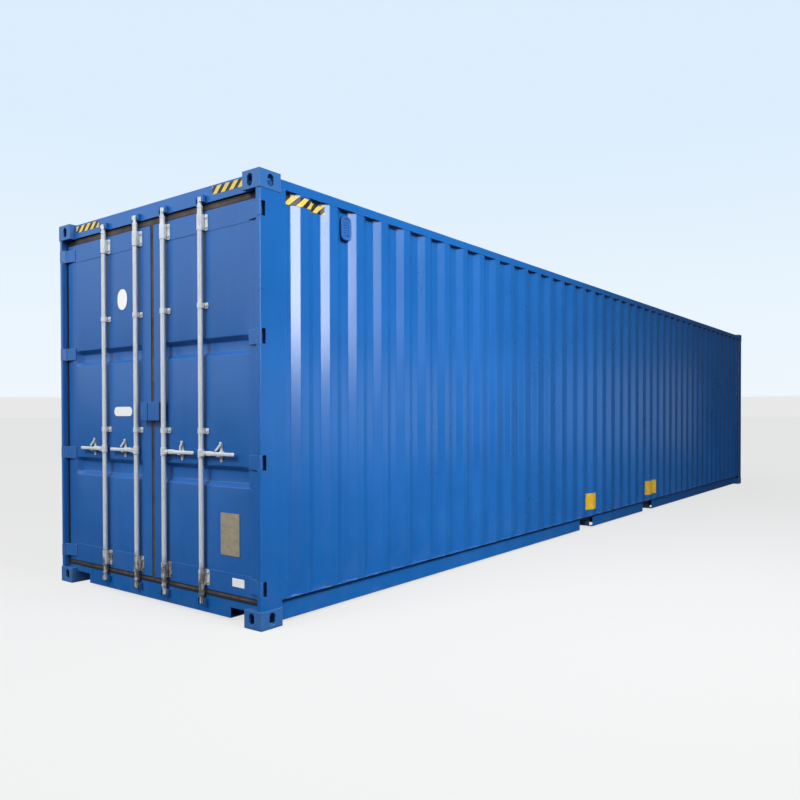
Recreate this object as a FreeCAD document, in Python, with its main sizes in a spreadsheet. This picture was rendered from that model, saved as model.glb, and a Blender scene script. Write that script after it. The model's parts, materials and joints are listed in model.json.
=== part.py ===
# Dry freight container, 40 ft high cube, standing on its bottom corner castings.
#
# Frame: +X runs along the length from the doors (-X) to the blind end (+X), +Y to the left
# seen from the doors, +Z up. The origin is the middle of the footprint, on the ground.
# All sizes are millimetres. The driving dimensions live in the sheet "Sizes".
import FreeCAD
import Part
import os
import re
import Sketcher

V = FreeCAD.Vector

SIZES = {
    # overall
    "box_length": 12192,
    "box_width": 2438,
    "box_height": 2896,
    # corner castings
    "casting_length": 178,
    "casting_width": 162,
    "casting_height": 118,
    "casting_wall": 15,
    "casting_inner_wall": 11,
    "casting_seat": 28,
    "aperture_length": 124.5,
    "aperture_width": 63.5,
    "aperture_from_end": 103.5,
    "aperture_from_side": 89.5,
    "eye_height": 79.5,
    "eye_width": 51,
    "eye_from_end": 92,
    "eye_rise": 62,
    # posts
    "post_inset": 3,
    "post_wall": 6,
    "post_corner": 9,
    "post_face": 35,
    "rear_post_length": 222,
    "jamb_depth": 106,
    "jamb_step": 11,
    "front_post_length": 190,
    "front_post_width": 90,
    "front_post_fold": 50,
    # door end frame
    "frame_face": 46,
    "header_bottom": 2782,
    "header_lip": 15,
    "header_top": 2890,
    "sill_bottom": 20,
    "sill_top": 148,
    "sill_notch_width": 190,
    "sill_notch_top": 91,
    "plate": 6,
    # side rails, end rails
    "skin_inset": 5,
    "top_rail": 60,
    "rail_top": 2866,
    "rail_wall": 4,
    "bottom_rail_bottom": 20,
    "bottom_rail_top": 168,
    "bottom_rail_web": 41,
    "bottom_rail_flange": 89,
    "front_rail_depth": 60,
    "front_rail_bottom": 2778,
    # corrugated sheets
    "sheet": 2,
    "side_depth": 36,
    "side_crest": 72,
    "side_slope": 68,
    "side_end_flat": 104,
    "side_count": 42,
    "front_sheet_depth": 44,
    "front_crest": 104,
    "front_slope": 18,
    "front_end_flat": 112,
    "front_count": 8,
    "roof_depth": 20,
    "roof_crest": 91,
    "roof_slope": 14,
    "roof_end_flat": 280,
    "roof_count": 55,
    "roof_inset": 8,
    "roof_margin": 54,
    # underframe
    "floor_top": 170,
    "floor_thickness": 28,
    "member_bottom": 20,
    "member_flange": 45,
    "member_wall": 4,
    "member_pitch": 300,
    "pocket_width": 360,
    "pocket_spacing": 2052,
    "pocket_shift": -88,
    "pocket_clear_top": 134,
    "pocket_wall": 4,
    "tunnel_length": 3150,
    "tunnel_width": 1029,
    "tunnel_clear": 120,
    # door leaves
    "leaf_face": 50,
    "leaf_depth": 50,
    "leaf_edge": 52,
    "leaf_half_gap": 18,
    "leaf_bottom": 178,
    "leaf_top": 2732,
    "stile": 100,
    "leaf_rail": 140,
    "leaf_wall": 3.2,
    "panel_set_back": 2,
    "groove_depth": 34,
    "groove_slope": 28,
    "lower_groove_bottom": 882,
    "lower_groove_top": 1020,
    "upper_groove_bottom": 1751,
    "upper_groove_top": 1873,
    "gasket_side": 9,
    "gasket_clear": 5,
    "gasket_half_gap": 4,
    "gasket_set_back": 6,
    "gasket_depth": 24,
    # hinges
    "hinge_in": 12,
    "hinge_knuckle": 11,
    "hinge_pin": 8,
    "hinge_bore": 8.1,
    "hinge_height": 95,
    "hinge_play": 0.3,
    "hinge_lug": 12,
    "hinge_first": 258,
    "hinge_pitch": 797,
    "hinge_reach": 160,
    "hinge_throat": 4,
    "hinge_crank_lead": 6,
    "hinge_crank_near": 25,
    "hinge_crank_run": 8,
    "hinge_crank_far": 30,
    "hinge_toe": 4,
    "hinge_notch": 50,
    "hinge_notch_deep": 35,
    "hinge_notch_side": 26,
    # lock rods
    "rod_radius": 17,
    "rod_depth": 22,
    "inner_rod": 170,
    "outer_rod": 595,
    "rod_bore": 17.5,
    "rod_bottom": 82,
    "rod_top": 2822,
    "rod_neck": 14,
    "cam_lobe": 25,
    "cam_height": 34,
    "cam_back": 13,
    "cam_seat": 70,
    "keeper_half": 34,
    "keeper_plate": 5,
    "keeper_height": 48,
    "keeper_overhang": 12,
    "keeper_reach": 30,
    "bracket_height": 110,
    "bracket_half": 52,
    "bracket_plate": 4,
    "saddle_radius": 21,
    "lower_bracket": 258,
    "upper_bracket": 2654,
    "guide_height": 40,
    "lower_guide": 1249,
    "upper_guide": 2095,
    # handles
    "handle_rise": 1098,
    "handle_length": 345,
    "handle_depth": 14,
    "handle_bar": 22,
    "handle_taper": 4,
    "handle_shoulder": 60,
    "handle_straight": 110,
    "handle_head": 14,
    "handle_pivot": 42,
    "handle_pin": 6,
    "handle_bore": 6.1,
    "hub_radius": 21.5,
    "hub_height": 60,
    "ear_wall": 5,
    "ear_height": 34,
    "ear_gap": 1,
    "retainer_offset": 182,
    "retainer_half": 26,
    "retainer_bottom": 1042,
    "retainer_top": 1169,
    "retainer_plate": 4,
    "seat_wall": 6,
    "seat_play": 1,
    "catch_pin": 5,
    "catch_bore": 5.1,
    "catch_rise": 1153,
    "catch_wall": 5,
    "catch_clear": 1,
    "catch_pin_proud": 2,
    "catch_eye": 13,
    "catch_width": 15,
    "catch_drop": 66,
    # lock box
    "lock_box_bottom": 1318,
    "lock_box_top": 1452,
    "lock_box_face": 6,
    "lock_box_right": 138,
    "lock_box_left": 88,
    "lock_box_gap": 4,
    # ventilator
    "vent_bottom": 2594,
    "vent_top": 2765,
    "vent_face": 12,
    "vent_width": 105,
    "vent_seat": 28,
    "vent_back_width": 66,
    "vent_corrugation": 2,
}

doc = FreeCAD.newDocument("Container")
sheet = doc.addObject("Spreadsheet::Sheet", "Sizes")
for row, (alias, value) in enumerate(SIZES.items(), start=1):
    sheet.set(f"A{row}", alias)
    sheet.set(f"B{row}", str(value))
    sheet.setAlias(f"B{row}", alias)
doc.recompute()

SUB_PARTS = []


# ---------------------------------------------------------------- helpers

def linked(formula):
    """A formula in plain size names, rewritten to read the sheet."""
    return re.sub(r"[a-z]\w*", lambda word: f"Sizes.{word[0]}" if word[0] in SIZES else word[0], formula)


def number(formula):
    """The present value of a formula."""
    return float(sheet.evalExpression(linked(formula)))


def bind(item, path, formula):
    item.setExpression(path, linked(str(formula)))


def span(ends):
    low, high = ends
    return f"({high}) - ({low})"


def from_rear(depth):
    return f"-box_length / 2 + ({depth})"


def from_front(depth):
    return f"box_length / 2 - ({depth})"


def from_right(inset):
    return f"-box_width / 2 + ({inset})"


def from_left(inset):
    return f"box_width / 2 - ({inset})"


def box(name, x, y, z):
    """A block between two planes on each axis, each plane a formula."""
    block = doc.addObject("Part::Box", name)
    for axis, side, ends in (("x", "Length", x), ("y", "Width", y), ("z", "Height", z)):
        bind(block, f"Placement.Base.{axis}", ends[0])
        bind(block, side, span(ends))
    return block


TURNS = {
    "x": FreeCAD.Rotation(V(0, 1, 0), 90),
    "y": FreeCAD.Rotation(V(1, 0, 0), -90),
    "z": FreeCAD.Rotation(),
}


def round_bar(name, start, axis, radius, length):
    """A cylinder from a start point along +X, +Y or +Z."""
    bar = doc.addObject("Part::Cylinder", name)
    bar.Placement = FreeCAD.Placement(V(), TURNS[axis])
    for letter, formula in zip("xyz", start):
        bind(bar, f"Placement.Base.{letter}", formula)
    bind(bar, "Radius", radius)
    bind(bar, "Height", length)
    return bar


def fuse(name, pieces):
    joined = doc.addObject("Part::MultiFuse", name)
    joined.Shapes = pieces
    return joined


def cut(name, base, tools):
    tool = tools[0] if len(tools) == 1 else fuse(f"{name}_tools", tools)
    result = doc.addObject("Part::Cut", name)
    result.Base = base
    result.Tool = tool
    return result


def group(name, pieces):
    together = doc.addObject("Part::Compound", name)
    together.Links = pieces
    return together


def mirror(name, source, normal=V(0, 1, 0)):
    """The other hand of a piece, across the middle of the box."""
    copy = doc.addObject("Part::Mirroring", name)
    copy.Source = source
    copy.Normal = normal
    return copy


def keep(item, node):
    """Names a finished sub-part."""
    item.Label = node
    SUB_PARTS.append(item)
    return item


PLANES = {"XY": "XY_Plane", "XZ": "XZ_Plane", "YZ": "YZ_Plane"}


def origin_plane(body, plane):
    role = PLANES[plane]
    return next(item for item in body.Origin.OriginFeatures if item.Role == role)


def outline(body, name, plane, loops, offset):
    """A sketch of closed straight loops, every corner held by two formulas."""
    sketch = body.newObject("Sketcher::SketchObject", name)
    sketch.AttachmentSupport = [(origin_plane(body, plane), "")]
    sketch.MapMode = "FlatFace"
    bind(sketch, "AttachmentOffset.Base.z", offset)
    formulas = []
    for loop in loops:
        points = [V(number(a), number(b), 0) for a, b in loop]
        first = sketch.GeometryCount
        for start, end in zip(points, points[1:] + points[:1]):
            sketch.addGeometry(Part.LineSegment(start, end), False)
        for index, (across, along) in enumerate(loop):
            edge = first + index
            before = first + (index - 1) % len(loop)
            sketch.addConstraint(Sketcher.Constraint("Coincident", before, 2, edge, 1))
            for kind, formula in (("DistanceX", across), ("DistanceY", along)):
                place = sketch.addConstraint(Sketcher.Constraint(kind, -1, 1, edge, 1, number(formula)))
                formulas.append((place, formula))
    for place, formula in formulas:
        bind(sketch, f"Constraints[{place}]", formula)
    return sketch


def pad(body, name, plane, loops, ends):
    """A sketch raised between two planes along its normal: +Z, +X or, on XZ, -Y."""
    low, high = ends
    start = f"-({high})" if plane == "XZ" else low
    sketch = outline(body, f"{name}_outline", plane, loops, start)
    raised = body.newObject("PartDesign::Pad", name)
    raised.Profile = sketch
    bind(raised, "Length", span(ends))
    sketch.Visibility = False
    return raised


def profile_bar(name, plane, loops, ends):
    """One profile raised to its length."""
    body = doc.addObject("PartDesign::Body", name)
    pad(body, f"{name}_pad", plane, loops, ends)
    return body


def repeat(body, feature, direction, length, count):
    """Copies of a feature in a row; direction is an origin axis role."""
    doc.recompute()
    axis = next(item for item in body.Origin.OriginFeatures if item.Role == direction)
    row = body.newObject("PartDesign::LinearPattern", f"{feature.Name}_row")
    row.Originals = [feature]
    row.Direction = (axis, [""])
    bind(row, "Length", length)
    bind(row, "Occurrences", count)
    body.Tip = row
    return row


def corrugated(name, plane, start, end, count, end_flat, crest, slope, depth, trough, outward, ends):
    """A pressed sheet: a row of waves from a start flat to an end flat.

    Waves run along the sketch's first axis. trough is the second-axis place of the sheet's hidden
    face and outward is +1 or -1, the way the crests stand. The sheet's thickness is laid inward.
    """
    wave = f"((({end}) - ({start}) - {end_flat}) / {count})"
    inner = trough
    outer = f"({trough}) + ({outward}) * {depth}"
    thick = f"({outward}) * sheet"
    flat = f"({wave} - {crest} - 2 * {slope})"
    stations = [("0", inner), (flat, inner), (f"{flat} + {slope}", outer),
                (f"{flat} + {slope} + {crest}", outer), (wave, inner)]
    body = doc.addObject("PartDesign::Body", name)
    front = [(f"({start}) + {along}", level) for along, level in stations]
    back = [(along, f"{level} - ({thick})") for along, level in reversed(front)]
    first = pad(body, f"{name}_wave", plane, [front + back], ends)
    repeat(body, first, "Y_Axis" if plane == "YZ" else "X_Axis", f"{wave} * ({count} - 1)", count)
    flat_start = f"({end}) - {end_flat}"
    tail = [(flat_start, inner), (end, inner), (end, f"{inner} - ({thick})"), (flat_start, f"{inner} - ({thick})")]
    body.Tip = pad(body, f"{name}_tail", plane, [tail], ends)
    return body


def both_sides(stem, right_piece):
    """Keeps a right-hand sub-part and its left-hand twin."""
    keep(right_piece, f"{stem}_right")
    return keep(mirror(f"{stem}_left_body", right_piece), f"{stem}_left")


# ---------------------------------------------------------------- corner castings

def casting():
    """The bottom casting of the rear right corner: a hollow block with three holes."""
    x = (from_rear("0"), from_rear("casting_length"))
    y = (from_right("0"), from_right("casting_width"))
    block = box("casting_block", x, y, ("0", "casting_height"))
    hollow = box("casting_hollow",
                 (from_rear("casting_wall"), from_rear("casting_length - casting_inner_wall")),
                 (from_right("casting_wall"), from_right("casting_width - casting_inner_wall")),
                 ("casting_seat", "casting_height - casting_inner_wall"))
    across = from_right("aperture_from_side")
    straight = "(aperture_length - aperture_width) / 2"
    slot = [box("aperture_middle",
                (from_rear(f"aperture_from_end - {straight}"), from_rear(f"aperture_from_end + {straight}")),
                (from_right("aperture_from_side - aperture_width / 2"),
                 from_right("aperture_from_side + aperture_width / 2")),
                ("-1", "casting_seat + 1"))]
    for end, sign in (("near", "-"), ("far", "+")):
        slot.append(round_bar(f"aperture_{end}",
                              (from_rear(f"aperture_from_end {sign} {straight}"), across, "-1"),
                              "z", "aperture_width / 2", "casting_seat + 2"))
    rise = "(eye_height - eye_width) / 2"
    eyes = [box("side_eye_middle",
                (from_rear("eye_from_end - eye_width / 2"), from_rear("eye_from_end + eye_width / 2")),
                (from_right("-1"), from_right("casting_wall + 1")),
                (f"eye_rise - {rise}", f"eye_rise + {rise}")),
            box("end_eye_middle",
                (from_rear("-1"), from_rear("casting_wall + 1")),
                (from_right("eye_from_end - eye_width / 2"), from_right("eye_from_end + eye_width / 2")),
                (f"eye_rise - {rise}", f"eye_rise + {rise}"))]
    for end, sign in (("lower", "-"), ("upper", "+")):
        eyes.append(round_bar(f"side_eye_{end}",
                              (from_rear("eye_from_end"), from_right("-1"), f"eye_rise {sign} {rise}"),
                              "y", "eye_width / 2", "casting_wall + 2"))
        eyes.append(round_bar(f"end_eye_{end}",
                              (from_rear("-1"), from_right("eye_from_end"), f"eye_rise {sign} {rise}"),
                              "x", "eye_width / 2", "casting_wall + 2"))
    return cut("casting_body", block, [hollow] + slot + eyes)


def castings():
    rear_right = casting()
    bottom = {"rear_right": rear_right, "rear_left": mirror("casting_rear_left", rear_right)}
    bottom["front_right"] = mirror("casting_front_right", rear_right, V(1, 0, 0))
    bottom["front_left"] = mirror("casting_front_left", bottom["rear_left"], V(1, 0, 0))
    for corner, piece in bottom.items():
        keep(piece, f"casting_bottom_{corner}")
        top = mirror(f"casting_top_{corner}_body", piece, V(0, 0, 1))
        bind(top, "Base.z", "box_height / 2")
        keep(top, f"casting_top_{corner}")


# ---------------------------------------------------------------- posts

HINGES = range(4)


def hinge_height(index):
    return f"(hinge_first + {index} * hinge_pitch)"


def rear_post():
    """A folded hollow post with a door jamb; notches in its corner take the hinge knuckles."""
    face = "post_inset + post_face"
    step = f"{face} + jamb_step"
    outer = [("post_inset", "post_inset"), (face, "post_inset"), (face, "jamb_depth"), (step, "jamb_depth"),
             (step, "rear_post_length"), ("post_inset", "rear_post_length")]
    inner = [("post_inset + post_wall", "post_inset + post_wall"), (f"{face} - post_wall", "post_inset + post_wall"),
             (f"{face} - post_wall", "jamb_depth + post_wall"), (f"{step} - post_wall", "jamb_depth + post_wall"),
             (f"{step} - post_wall", "rear_post_length - post_wall"),
             ("post_inset + post_wall", "rear_post_length - post_wall")]
    loops = [[(from_rear(depth), from_right(inset)) for inset, depth in loop] for loop in (outer, inner)]
    tube = profile_bar("rear_post_tube", "XY", loops, ("casting_height", "box_height - casting_height"))
    beyond = (from_rear("casting_length"), from_rear("rear_post_length"))
    across = (from_right("post_inset"), from_right(step))
    top = box("rear_post_top", beyond, across,
              ("box_height - casting_height", "rail_top - top_rail"))
    foot = box("rear_post_foot", beyond, (from_right("-1"), from_right("casting_width")),
               ("casting_height - 1", "bottom_rail_top"))
    notches = []
    lugs = []
    for index in HINGES:
        middle = hinge_height(index)
        half = "(hinge_height / 2 + hinge_play)"
        notches.append(box(f"notch_side_{index}",
                           (from_rear("-1"), from_rear("hinge_notch")),
                           (from_right("-1"), from_right("hinge_notch_side")),
                           (f"{middle} - {half}", f"{middle} + {half}")))
        notches.append(box(f"notch_face_{index}",
                           (from_rear("-1"), from_rear("hinge_notch_deep")),
                           (from_right("-1"), from_right(f"{face} + 1")),
                           (f"{middle} - {half}", f"{middle} + {half}")))
        for side, sign in (("lower", "-"), ("upper", "+")):
            near = f"{middle} {sign} {half}"
            far = f"{middle} {sign} ({half} + hinge_lug)"
            ends = (far, near) if sign == "-" else (near, far)
            lugs.append(box(f"lug_{side}_{index}",
                            (from_rear("post_inset + post_wall"), from_rear("hinge_notch")),
                            (from_right("post_inset + post_wall"), from_right(f"{face} - post_wall")), ends))
        lugs.append(round_bar(f"hinge_pin_{index}",
                              (from_rear("hinge_in"), from_right("hinge_in"),
                               f"{middle} - {half} - hinge_lug"),
                              "z", "hinge_pin", f"2 * ({half} + hinge_lug)"))
    open_tube = cut("rear_post_notched", fuse("rear_post_whole", [tube, top]), [foot] + notches)
    rounded = corner_rounding("rear_post_corner", open_tube)
    return fuse("rear_post_body", [rounded] + lugs)


def corner_rounding(name, post):
    """Rounds the outer upright corner of the rear post."""
    square = box(f"{name}_square",
                 (from_rear("-1"), from_rear("post_inset + post_corner")),
                 (from_right("-1"), from_right("post_inset + post_corner")),
                 ("0", "box_height"))
    bar = round_bar(f"{name}_round",
                    (from_rear("post_inset + post_corner"), from_right("post_inset + post_corner"), "-1"),
                    "z", "post_corner", "box_height + 2")
    return cut(name, post, [cut(f"{name}_waste", square, [bar])])


def front_post():
    """A folded hollow corner post at the blind end."""
    deep = "front_post_length"
    wide = "front_post_width"
    fold = "front_post_fold"
    outer = [("post_inset", "post_inset"), (wide, "post_inset"), (wide, fold), (fold, fold),
             (fold, deep), ("post_inset", deep)]
    wall = "post_wall"
    inner = [(f"post_inset + {wall}", f"post_inset + {wall}"), (f"{wide} - {wall}", f"post_inset + {wall}"),
             (f"{wide} - {wall}", f"{fold} - {wall}"), (f"{fold} - {wall}", f"{fold} - {wall}"),
             (f"{fold} - {wall}", f"{deep} - {wall}"), (f"post_inset + {wall}", f"{deep} - {wall}")]
    loops = [[(from_front(depth), from_right(inset)) for inset, depth in loop] for loop in (outer, inner)]
    tube = profile_bar("front_post_tube", "XY", loops, ("casting_height", "box_height - casting_height"))
    beyond = (from_front("front_post_length"), from_front("casting_length"))
    top = box("front_post_top", beyond, (from_right("post_inset"), from_right(fold)),
              ("box_height - casting_height", "rail_top - top_rail"))
    foot = box("front_post_foot", beyond, (from_right("-1"), from_right("casting_width")),
               ("casting_height - 1", "bottom_rail_top"))
    return cut("front_post_body", fuse("front_post_whole", [tube, top]), [foot])


# ---------------------------------------------------------------- end frames

def casting_blocks(name, from_end, top):
    """Plain blocks the size of the two castings of one end, to cut a rail's ends."""
    x = (from_end("-1"), from_end("casting_length"))
    if from_end is from_front:
        x = (x[1], x[0])
    z = ("box_height - casting_height", "box_height") if top else ("0", "casting_height")
    return [box(f"{name}_right", x, (from_right("-1"), from_right("casting_width")), z),
            box(f"{name}_left", x, (from_left("casting_width"), from_left("-1")), z)]


def rail_ends(name, inset, z):
    """Plain blocks where the two side rails run in behind the rear castings."""
    x = (from_rear("casting_length"), from_rear("rear_post_length + 1"))
    return [box(f"{name}_right", x, (from_right("0"), from_right(inset)), z),
            box(f"{name}_left", x, (from_left(inset), from_left("0")), z)]


def door_header():
    """The beam over the doors, with the lip that the closed leaves seal against.

    The beam fills the space between the castings; only its lip runs on under them to the posts.
    """
    inset = "post_inset + post_face + jamb_step"
    wide = (from_right(inset), from_left(inset))
    y = (from_right("casting_width"), from_left("casting_width"))
    face = box("header_face", (from_rear("frame_face"), from_rear("frame_face + plate")), y,
               ("header_bottom", "header_top"))
    soffit = box("header_soffit", (from_rear("frame_face"), from_rear("jamb_depth")), y,
                 ("header_bottom", "header_bottom + plate"))
    riser = box("header_riser", (from_rear("jamb_depth"), from_rear("jamb_depth + plate")), y,
                ("header_bottom - header_lip", "header_top"))
    lip = box("header_lip_plate", (from_rear("jamb_depth"), from_rear("jamb_depth + plate")), wide,
              ("header_bottom - header_lip", "box_height - casting_height"))
    under = box("header_under", (from_rear("jamb_depth"), from_rear("rear_post_length")), wide,
                ("header_bottom - header_lip", "header_bottom - header_lip + plate"))
    back = box("header_back", (from_rear("rear_post_length - plate"), from_rear("rear_post_length")), y,
               ("header_bottom - header_lip", "header_top"))
    top = box("header_cover", (from_rear("frame_face"), from_rear("rear_post_length")), y,
              ("header_top - plate", "header_top"))
    return fuse("header_body", [face, soffit, riser, lip, under, back, top])


def door_sill():
    """The threshold beam with a step up to the floor, cut away beside the castings."""
    inset = "post_inset + post_face + jamb_step"
    y = (from_right(inset), from_left(inset))
    face = box("sill_face", (from_rear("frame_face"), from_rear("frame_face + plate")), y,
               ("sill_bottom", "sill_top"))
    top = box("sill_top_plate", (from_rear("frame_face"), from_rear("rear_post_length")), y,
              ("sill_top - plate", "sill_top"))
    back = box("sill_back", (from_rear("rear_post_length - plate"), from_rear("rear_post_length")), y,
               ("sill_bottom", "floor_top"))
    step = box("sill_step", (from_rear("jamb_depth"), from_rear("jamb_depth + plate")), y,
               ("sill_top - plate", "floor_top"))
    deck = box("sill_deck", (from_rear("jamb_depth"), from_rear("rear_post_length")), y,
               ("floor_top - plate", "floor_top"))
    foot = box("sill_foot", (from_rear("frame_face"), from_rear("rear_post_length")), y,
               ("sill_bottom", "sill_bottom + plate"))
    notch_in = "casting_width + sill_notch_width"
    x = (from_rear("frame_face - 1"), from_rear("rear_post_length + 1"))
    z = ("sill_bottom - 1", "sill_notch_top")
    notches = [box("sill_notch_right", x, (from_right("0"), from_right(notch_in)), z),
               box("sill_notch_left", x, (from_left(notch_in), from_left("0")), z)]
    whole = fuse("sill_whole", [face, top, back, step, deck, foot])
    rails = rail_ends("sill_rail", "bottom_rail_flange", ("0", "bottom_rail_top"))
    return cut("sill_body", whole, notches + rails + casting_blocks("sill_casting", from_rear, False))


def front_top_rail():
    x = (from_front("post_inset + front_rail_depth"), from_front("post_inset"))
    y = (from_right("casting_width"), from_left("casting_width"))
    outer = box("front_top_outer", x, y, ("front_rail_bottom", "rail_top"))
    inner = box("front_top_inner",
                (from_front("post_inset + front_rail_depth - rail_wall"), from_front("post_inset + rail_wall")),
                (from_right("0"), from_left("0")),
                ("front_rail_bottom + rail_wall", "rail_top - rail_wall"))
    cover = box("front_top_cover", (from_front("casting_length"), from_front("post_inset")), y,
                ("rail_top", "rail_top + sheet"))
    return fuse("front_top_body", [cut("front_top_tube", outer, [inner]), cover])


def front_bottom_rail():
    """The front sill, open in the middle where a gooseneck chassis runs under the floor."""
    x = (from_front("post_inset + front_rail_depth"), from_front("post_inset"))
    inset = "front_post_width"
    whole = box("front_bottom_outer", x, (from_right(inset), from_left(inset)),
                ("bottom_rail_bottom", "bottom_rail_top"))
    inner = box("front_bottom_inner",
                (from_front("post_inset + front_rail_depth + 1"), from_front("post_inset + rail_wall")),
                (from_right("casting_width"), from_left("casting_width")),
                ("bottom_rail_bottom + rail_wall", "bottom_rail_top - rail_wall"))
    mouth = box("front_bottom_mouth", (from_front("post_inset + front_rail_depth + 1"), from_front("0")),
                ("-tunnel_width / 2", "tunnel_width / 2"), ("0", "tunnel_clear"))
    return cut("front_bottom_body", whole, [inner, mouth] + casting_blocks("front_casting", from_front, False))


# ---------------------------------------------------------------- side rails

def side_top_rail():
    x = (from_rear("casting_length"), from_front("casting_length"))
    outer = box("top_rail_outer", x, (from_right("skin_inset"), from_right("skin_inset + top_rail")),
                ("rail_top - top_rail", "rail_top"))
    inner = box("top_rail_inner", (from_rear("0"), from_front("0")),
                (from_right("skin_inset + rail_wall"), from_right("skin_inset + top_rail - rail_wall")),
                ("rail_top - top_rail + rail_wall", "rail_top - rail_wall"))
    return cut("top_rail_body", outer, [inner])


def pocket_middle(index):
    return f"(pocket_shift + ({index} - 0.5) * pocket_spacing)"


def side_bottom_rail():
    """A channel open inward whose top flange overhangs its web; notched at the fork pockets."""
    web = "bottom_rail_web"
    wall = "rail_wall"
    low = "bottom_rail_bottom"
    high = "bottom_rail_top"
    tip = "bottom_rail_flange"
    profile = [("skin_inset", high), (tip, high), (tip, f"{high} - {wall}"), (f"{web} + {wall}", f"{high} - {wall}"),
               (f"{web} + {wall}", f"{low} + {wall}"), (tip, f"{low} + {wall}"), (tip, low), (web, low),
               (web, f"{high} - {wall}"), ("skin_inset", f"{high} - {wall}")]
    loop = [(from_right(inset), level) for inset, level in profile]
    channel = profile_bar("bottom_rail_channel", "YZ", [loop],
                          (from_rear("casting_length"), from_front("casting_length")))
    notches = []
    for index in (0, 1):
        middle = pocket_middle(index)
        notches.append(box(f"rail_pocket_{index}",
                           (f"{middle} - pocket_width / 2", f"{middle} + pocket_width / 2"),
                           (from_right("0"), from_right("bottom_rail_flange + 1")),
                           ("0", "pocket_clear_top")))
    return cut("bottom_rail_body", channel, notches)


# ---------------------------------------------------------------- walls and roof

def side_wall():
    return corrugated("side_wall_body", "XY", from_rear("rear_post_length"), from_front("front_post_length"),
                      "side_count", "side_end_flat", "side_crest", "side_slope", "side_depth",
                      from_right("skin_inset + side_depth"), "-1",
                      ("bottom_rail_top", "rail_top - top_rail"))


def end_wall():
    """The blind end's sheet, its waves standing upright between the front posts."""
    inset = "front_post_width"
    start = from_right(inset)
    end = from_left(inset)
    wave = f"(({end} - ({start}) - front_end_flat) / front_count)"
    flat = f"({wave} - front_crest - 2 * front_slope)"
    trough = from_front("skin_inset + front_sheet_depth")
    crest = from_front("skin_inset")
    stations = [("0", trough), (flat, trough), (f"{flat} + front_slope", crest),
                (f"{flat} + front_slope + front_crest", crest), (wave, trough)]
    body = doc.addObject("PartDesign::Body", "end_wall_body")
    face = [(level, f"({start}) + {along}") for along, level in stations]
    back = [(f"{level} - sheet", along) for level, along in reversed(face)]
    ends = ("bottom_rail_top", "front_rail_bottom")
    first = pad(body, "end_wall_wave", "XY", [face + back], ends)
    repeat(body, first, "Y_Axis", f"{wave} * (front_count - 1)", "front_count")
    tail_start = f"({end}) - front_end_flat"
    tail = [(trough, tail_start), (trough, end), (f"{trough} - sheet", end), (f"{trough} - sheet", tail_start)]
    body.Tip = pad(body, "end_wall_tail", "XY", [tail], ends)
    return body


def roof():
    """The pressed roof sheet on the side rails: waves that close before the rails, and flat rims.

    It stops at the front castings, where the front rail's own cover plate takes over.
    """
    margin = "roof_inset + roof_margin"
    start, end = from_rear("frame_face + roof_end_flat"), from_front("post_inset")
    waves = corrugated("roof_sheet", "XZ", start, end, "roof_count", "roof_end_flat", "roof_crest",
                       "roof_slope", "roof_depth", "rail_top + sheet", "1",
                       (from_right(margin), from_left(margin)))
    closed = [waves]
    for side, y in (("right", (from_right(margin), from_right(f"{margin} + sheet"))),
                    ("left", (from_left(f"{margin} + sheet"), from_left(margin)))):
        closed.append(wave_ends(f"roof_ends_{side}", start, end, y))
    for side, y in (("right", (from_right("roof_inset"), from_right(margin))),
                    ("left", (from_left(margin), from_left("roof_inset")))):
        closed.append(box(f"roof_rim_{side}", (start, end), y, ("rail_top", "rail_top + sheet")))
    level = ("rail_top", "rail_top + sheet")
    behind_casting = (from_rear("casting_length"), from_rear("rear_post_length"))
    closed.append(box("roof_rear_flat", (from_rear("rear_post_length"), start),
                      (from_right("roof_inset"), from_left("roof_inset")), level))
    closed.append(box("roof_tab_right", behind_casting, (from_right("roof_inset"), from_right("casting_width")), level))
    closed.append(box("roof_tab_left", behind_casting, (from_left("casting_width"), from_left("roof_inset")), level))
    whole = fuse("roof_whole", closed)
    front = box("roof_front_cut", (from_front("casting_length"), from_front("0")),
                (from_right("0"), from_left("0")), ("rail_top - 1", "box_height"))
    return cut("roof_body", whole, [front])


def wave_ends(name, start, end, ends):
    """The upright plates that close the roof's waves at one side."""
    wave = f"((({end}) - ({start}) - roof_end_flat) / roof_count)"
    foot = f"({wave} - roof_crest - 2 * roof_slope)"
    base = "rail_top"
    top = "rail_top + sheet + roof_depth"
    corners = [(foot, base), (wave, base), (wave, f"{base} + sheet"),
               (f"{foot} + roof_slope + roof_crest", top), (f"{foot} + roof_slope", top), (foot, f"{base} + sheet")]
    body = doc.addObject("PartDesign::Body", name)
    first = pad(body, f"{name}_wave", "XZ", [[(f"({start}) + {along}", level) for along, level in corners]], ends)
    repeat(body, first, "X_Axis", f"{wave} * (roof_count - 1)", "roof_count")
    return body


# ---------------------------------------------------------------- underframe

def cross_member(name, rear_face, y):
    """One channel of the floor frame, open towards the front, lying across the box."""
    front_face = f"{rear_face} + member_flange"
    web = box(f"{name}_web", (rear_face, f"{rear_face} + member_wall"), y,
              ("member_bottom", "floor_top - floor_thickness"))
    foot = box(f"{name}_foot", (rear_face, front_face), y,
               ("member_bottom", "member_bottom + member_wall"))
    head = box(f"{name}_head", (rear_face, front_face), y,
               ("floor_top - floor_thickness - member_wall", "floor_top - floor_thickness"))
    return fuse(name, [web, foot, head])


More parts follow.
